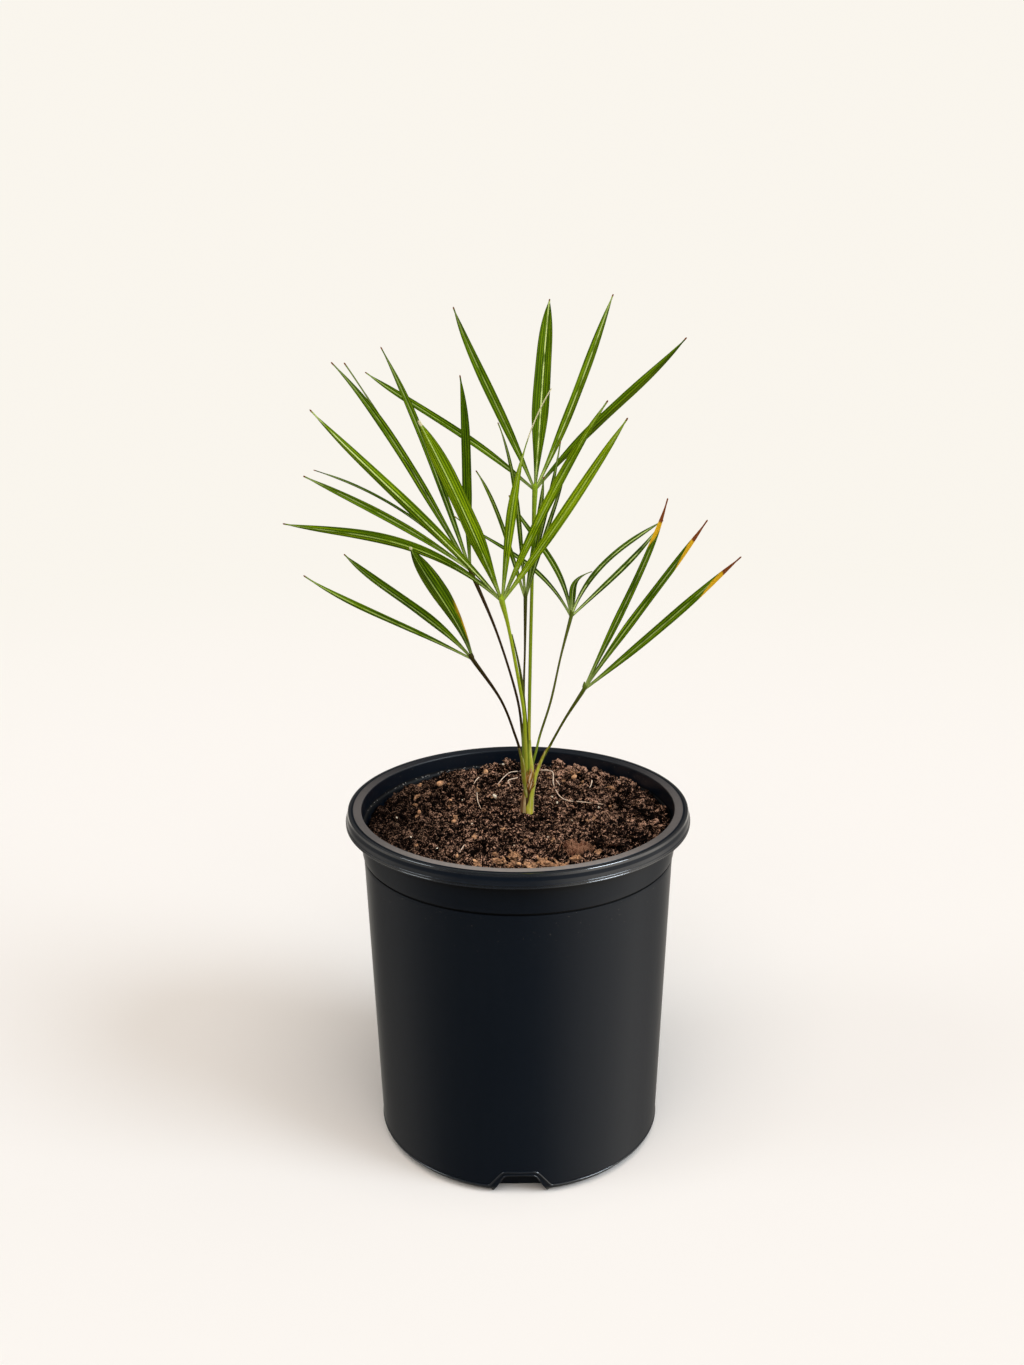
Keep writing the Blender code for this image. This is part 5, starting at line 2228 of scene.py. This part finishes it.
@dataclass
class Studio:
    """The camera, the floor, the backdrop and the lights."""

    camera_place: Triple = (-2.5, -611.0, 417.8)
    camera_pitch: float = 16.75
    camera_roll: float = -0.35
    focal_pixels: float = 1338.0
    frame_pixels: float = 1365.0
    sensor: float = 36.0
    backdrop: Colour = (0.955, 0.918, 0.850)
    floor_colour: Colour = (0.90, 0.88, 0.85)
    floor_radius: float = 6000.0
    floor_fade: Pair = (0.55, 1.5)
    around_colour: Colour = (1.0, 0.94, 0.85)
    behind: float = 0.22
    beside: float = 0.50
    beyond: float = 0.18
    dim: float = 0.06
    suns: tuple[Sun, ...] = (
        Sun("key", (0.80, -0.36, 0.63), 1.42, 26.0, (0.78, 0.89, 1.0)),
        Sun("front", (0.0, -0.46, 0.88), 2.40, 62.0, (1.0, 0.92, 0.86), glossy=False),
        Sun("fill", (-0.90, -0.24, 0.62), 0.32, 22.0, (0.85, 0.94, 1.0)),
    )

    def make_camera(self) -> None:
        """Make the camera at the photograph's place and angle."""
        data = bpy.data.cameras.new("camera")
        data.sensor_width = self.sensor
        data.lens = self.focal_pixels / self.frame_pixels * self.sensor
        data.clip_start = 0.01
        data.clip_end = 100.0
        camera = linked("camera", data)
        pitch = Matrix.Rotation(radians(90.0 - self.camera_pitch), 4, "X")
        roll = Matrix.Rotation(radians(self.camera_roll), 4, "Z")
        camera.matrix_world = Matrix.Translation(Vector(self.camera_place) * MM) @ pitch @ roll
        bpy.context.scene.camera = camera

    def make_floor(self) -> None:
        """Make the floor, which fades into the backdrop far out and stays out of the glossy reflections."""
        bm = bmesh.new()
        bmesh.ops.create_circle(bm, cap_ends=True, segments=96, radius=self.floor_radius * MM)
        mesh = bpy.data.meshes.new("floor")
        bm.to_mesh(mesh)
        bm.free()
        floor = linked("floor", mesh)
        skin = Skin("floor")
        x, y, _ = skin.parts(skin.place())
        far = ((x * x + y * y) ** 0.5).step(*self.floor_fade)
        matt = skin.add("ShaderNodeBsdfDiffuse", None, {"Color": self.floor_colour})
        glow = skin.add("ShaderNodeEmission", None, {"Color": self.backdrop})
        mixed = skin.add("ShaderNodeMixShader", None, {0: far, 1: matt, 2: glow})
        skin.add("ShaderNodeOutputMaterial", None, {"Surface": mixed})
        floor.data.materials.append(skin.material)
        floor.visible_glossy = False

    def make_world(self) -> None:
        """Make the surroundings: a pale backdrop to the camera, and a studio that lights the rest."""
        world = bpy.data.worlds.new("studio")
        bpy.context.scene.world = world
        world.use_nodes = True
        tree = Tree(world.node_tree)
        x, y, z = tree.parts(tree.add("ShaderNodeTexCoord").out("Generated"))
        low = y.step(0.66, 0.97) * z.step(0.08, -0.08)
        aside = (x * x).step(0.01, 0.10) * 0.30 + 0.88
        back = y.step(-0.35, 0.20) * (z.step(0.25, 0.0) * 0.33 + 0.12) * aside + low * 3.4
        right = x.step(0.10, 0.95) * (y.step(0.50, 0.05) * 0.74 + 0.26)
        left = x.step(-0.60, -0.90) * y.step(0.75, 0.20) * (z.step(-0.10, 0.30) * 0.40 + 0.60)
        light = self.dim + self.behind * back + self.beside * right + self.beyond * left
        sockets = {"Color": self.around_colour, "Strength": light}
        around = tree.add("ShaderNodeBackground", None, sockets)
        seen = tree.add("ShaderNodeBackground", None, {"Color": self.backdrop})
        camera_ray = tree.add("ShaderNodeLightPath").out("Is Camera Ray")
        mixed = tree.add("ShaderNodeMixShader", None, {0: camera_ray, 1: around, 2: seen})
        tree.add("ShaderNodeOutputWorld", None, {"Surface": mixed})

    def build(self) -> None:
        """Build the studio."""
        scene = bpy.context.scene
        scene.view_settings.view_transform = "Standard"
        self.make_camera()
        self.make_floor()
        self.make_world()
        for sun in self.suns:
            sun.build()


def main() -> None:
    """Build the whole picture in order."""
    logging.basicConfig(level=logging.INFO, format="%(name)s: %(message)s")
    sweeper = Sweeper()
    pot = Pot()
    pot.build(sweeper)
    soil = Soil(pot)
    soil.build(sweeper)
    Roots(soil).build(sweeper)
    Stem().build(sweeper)
    for frond in FRONDS:
        frond.build(sweeper)
    spear = sweeper.rod("spear_leaf", SPEAR_ROUTE, DULL_STALK.material("spear_leaf"), 60, 10, 0.8)
    wear_on(spear, "spear")
    Studio().build()


if __name__ == "__main__":
    main()
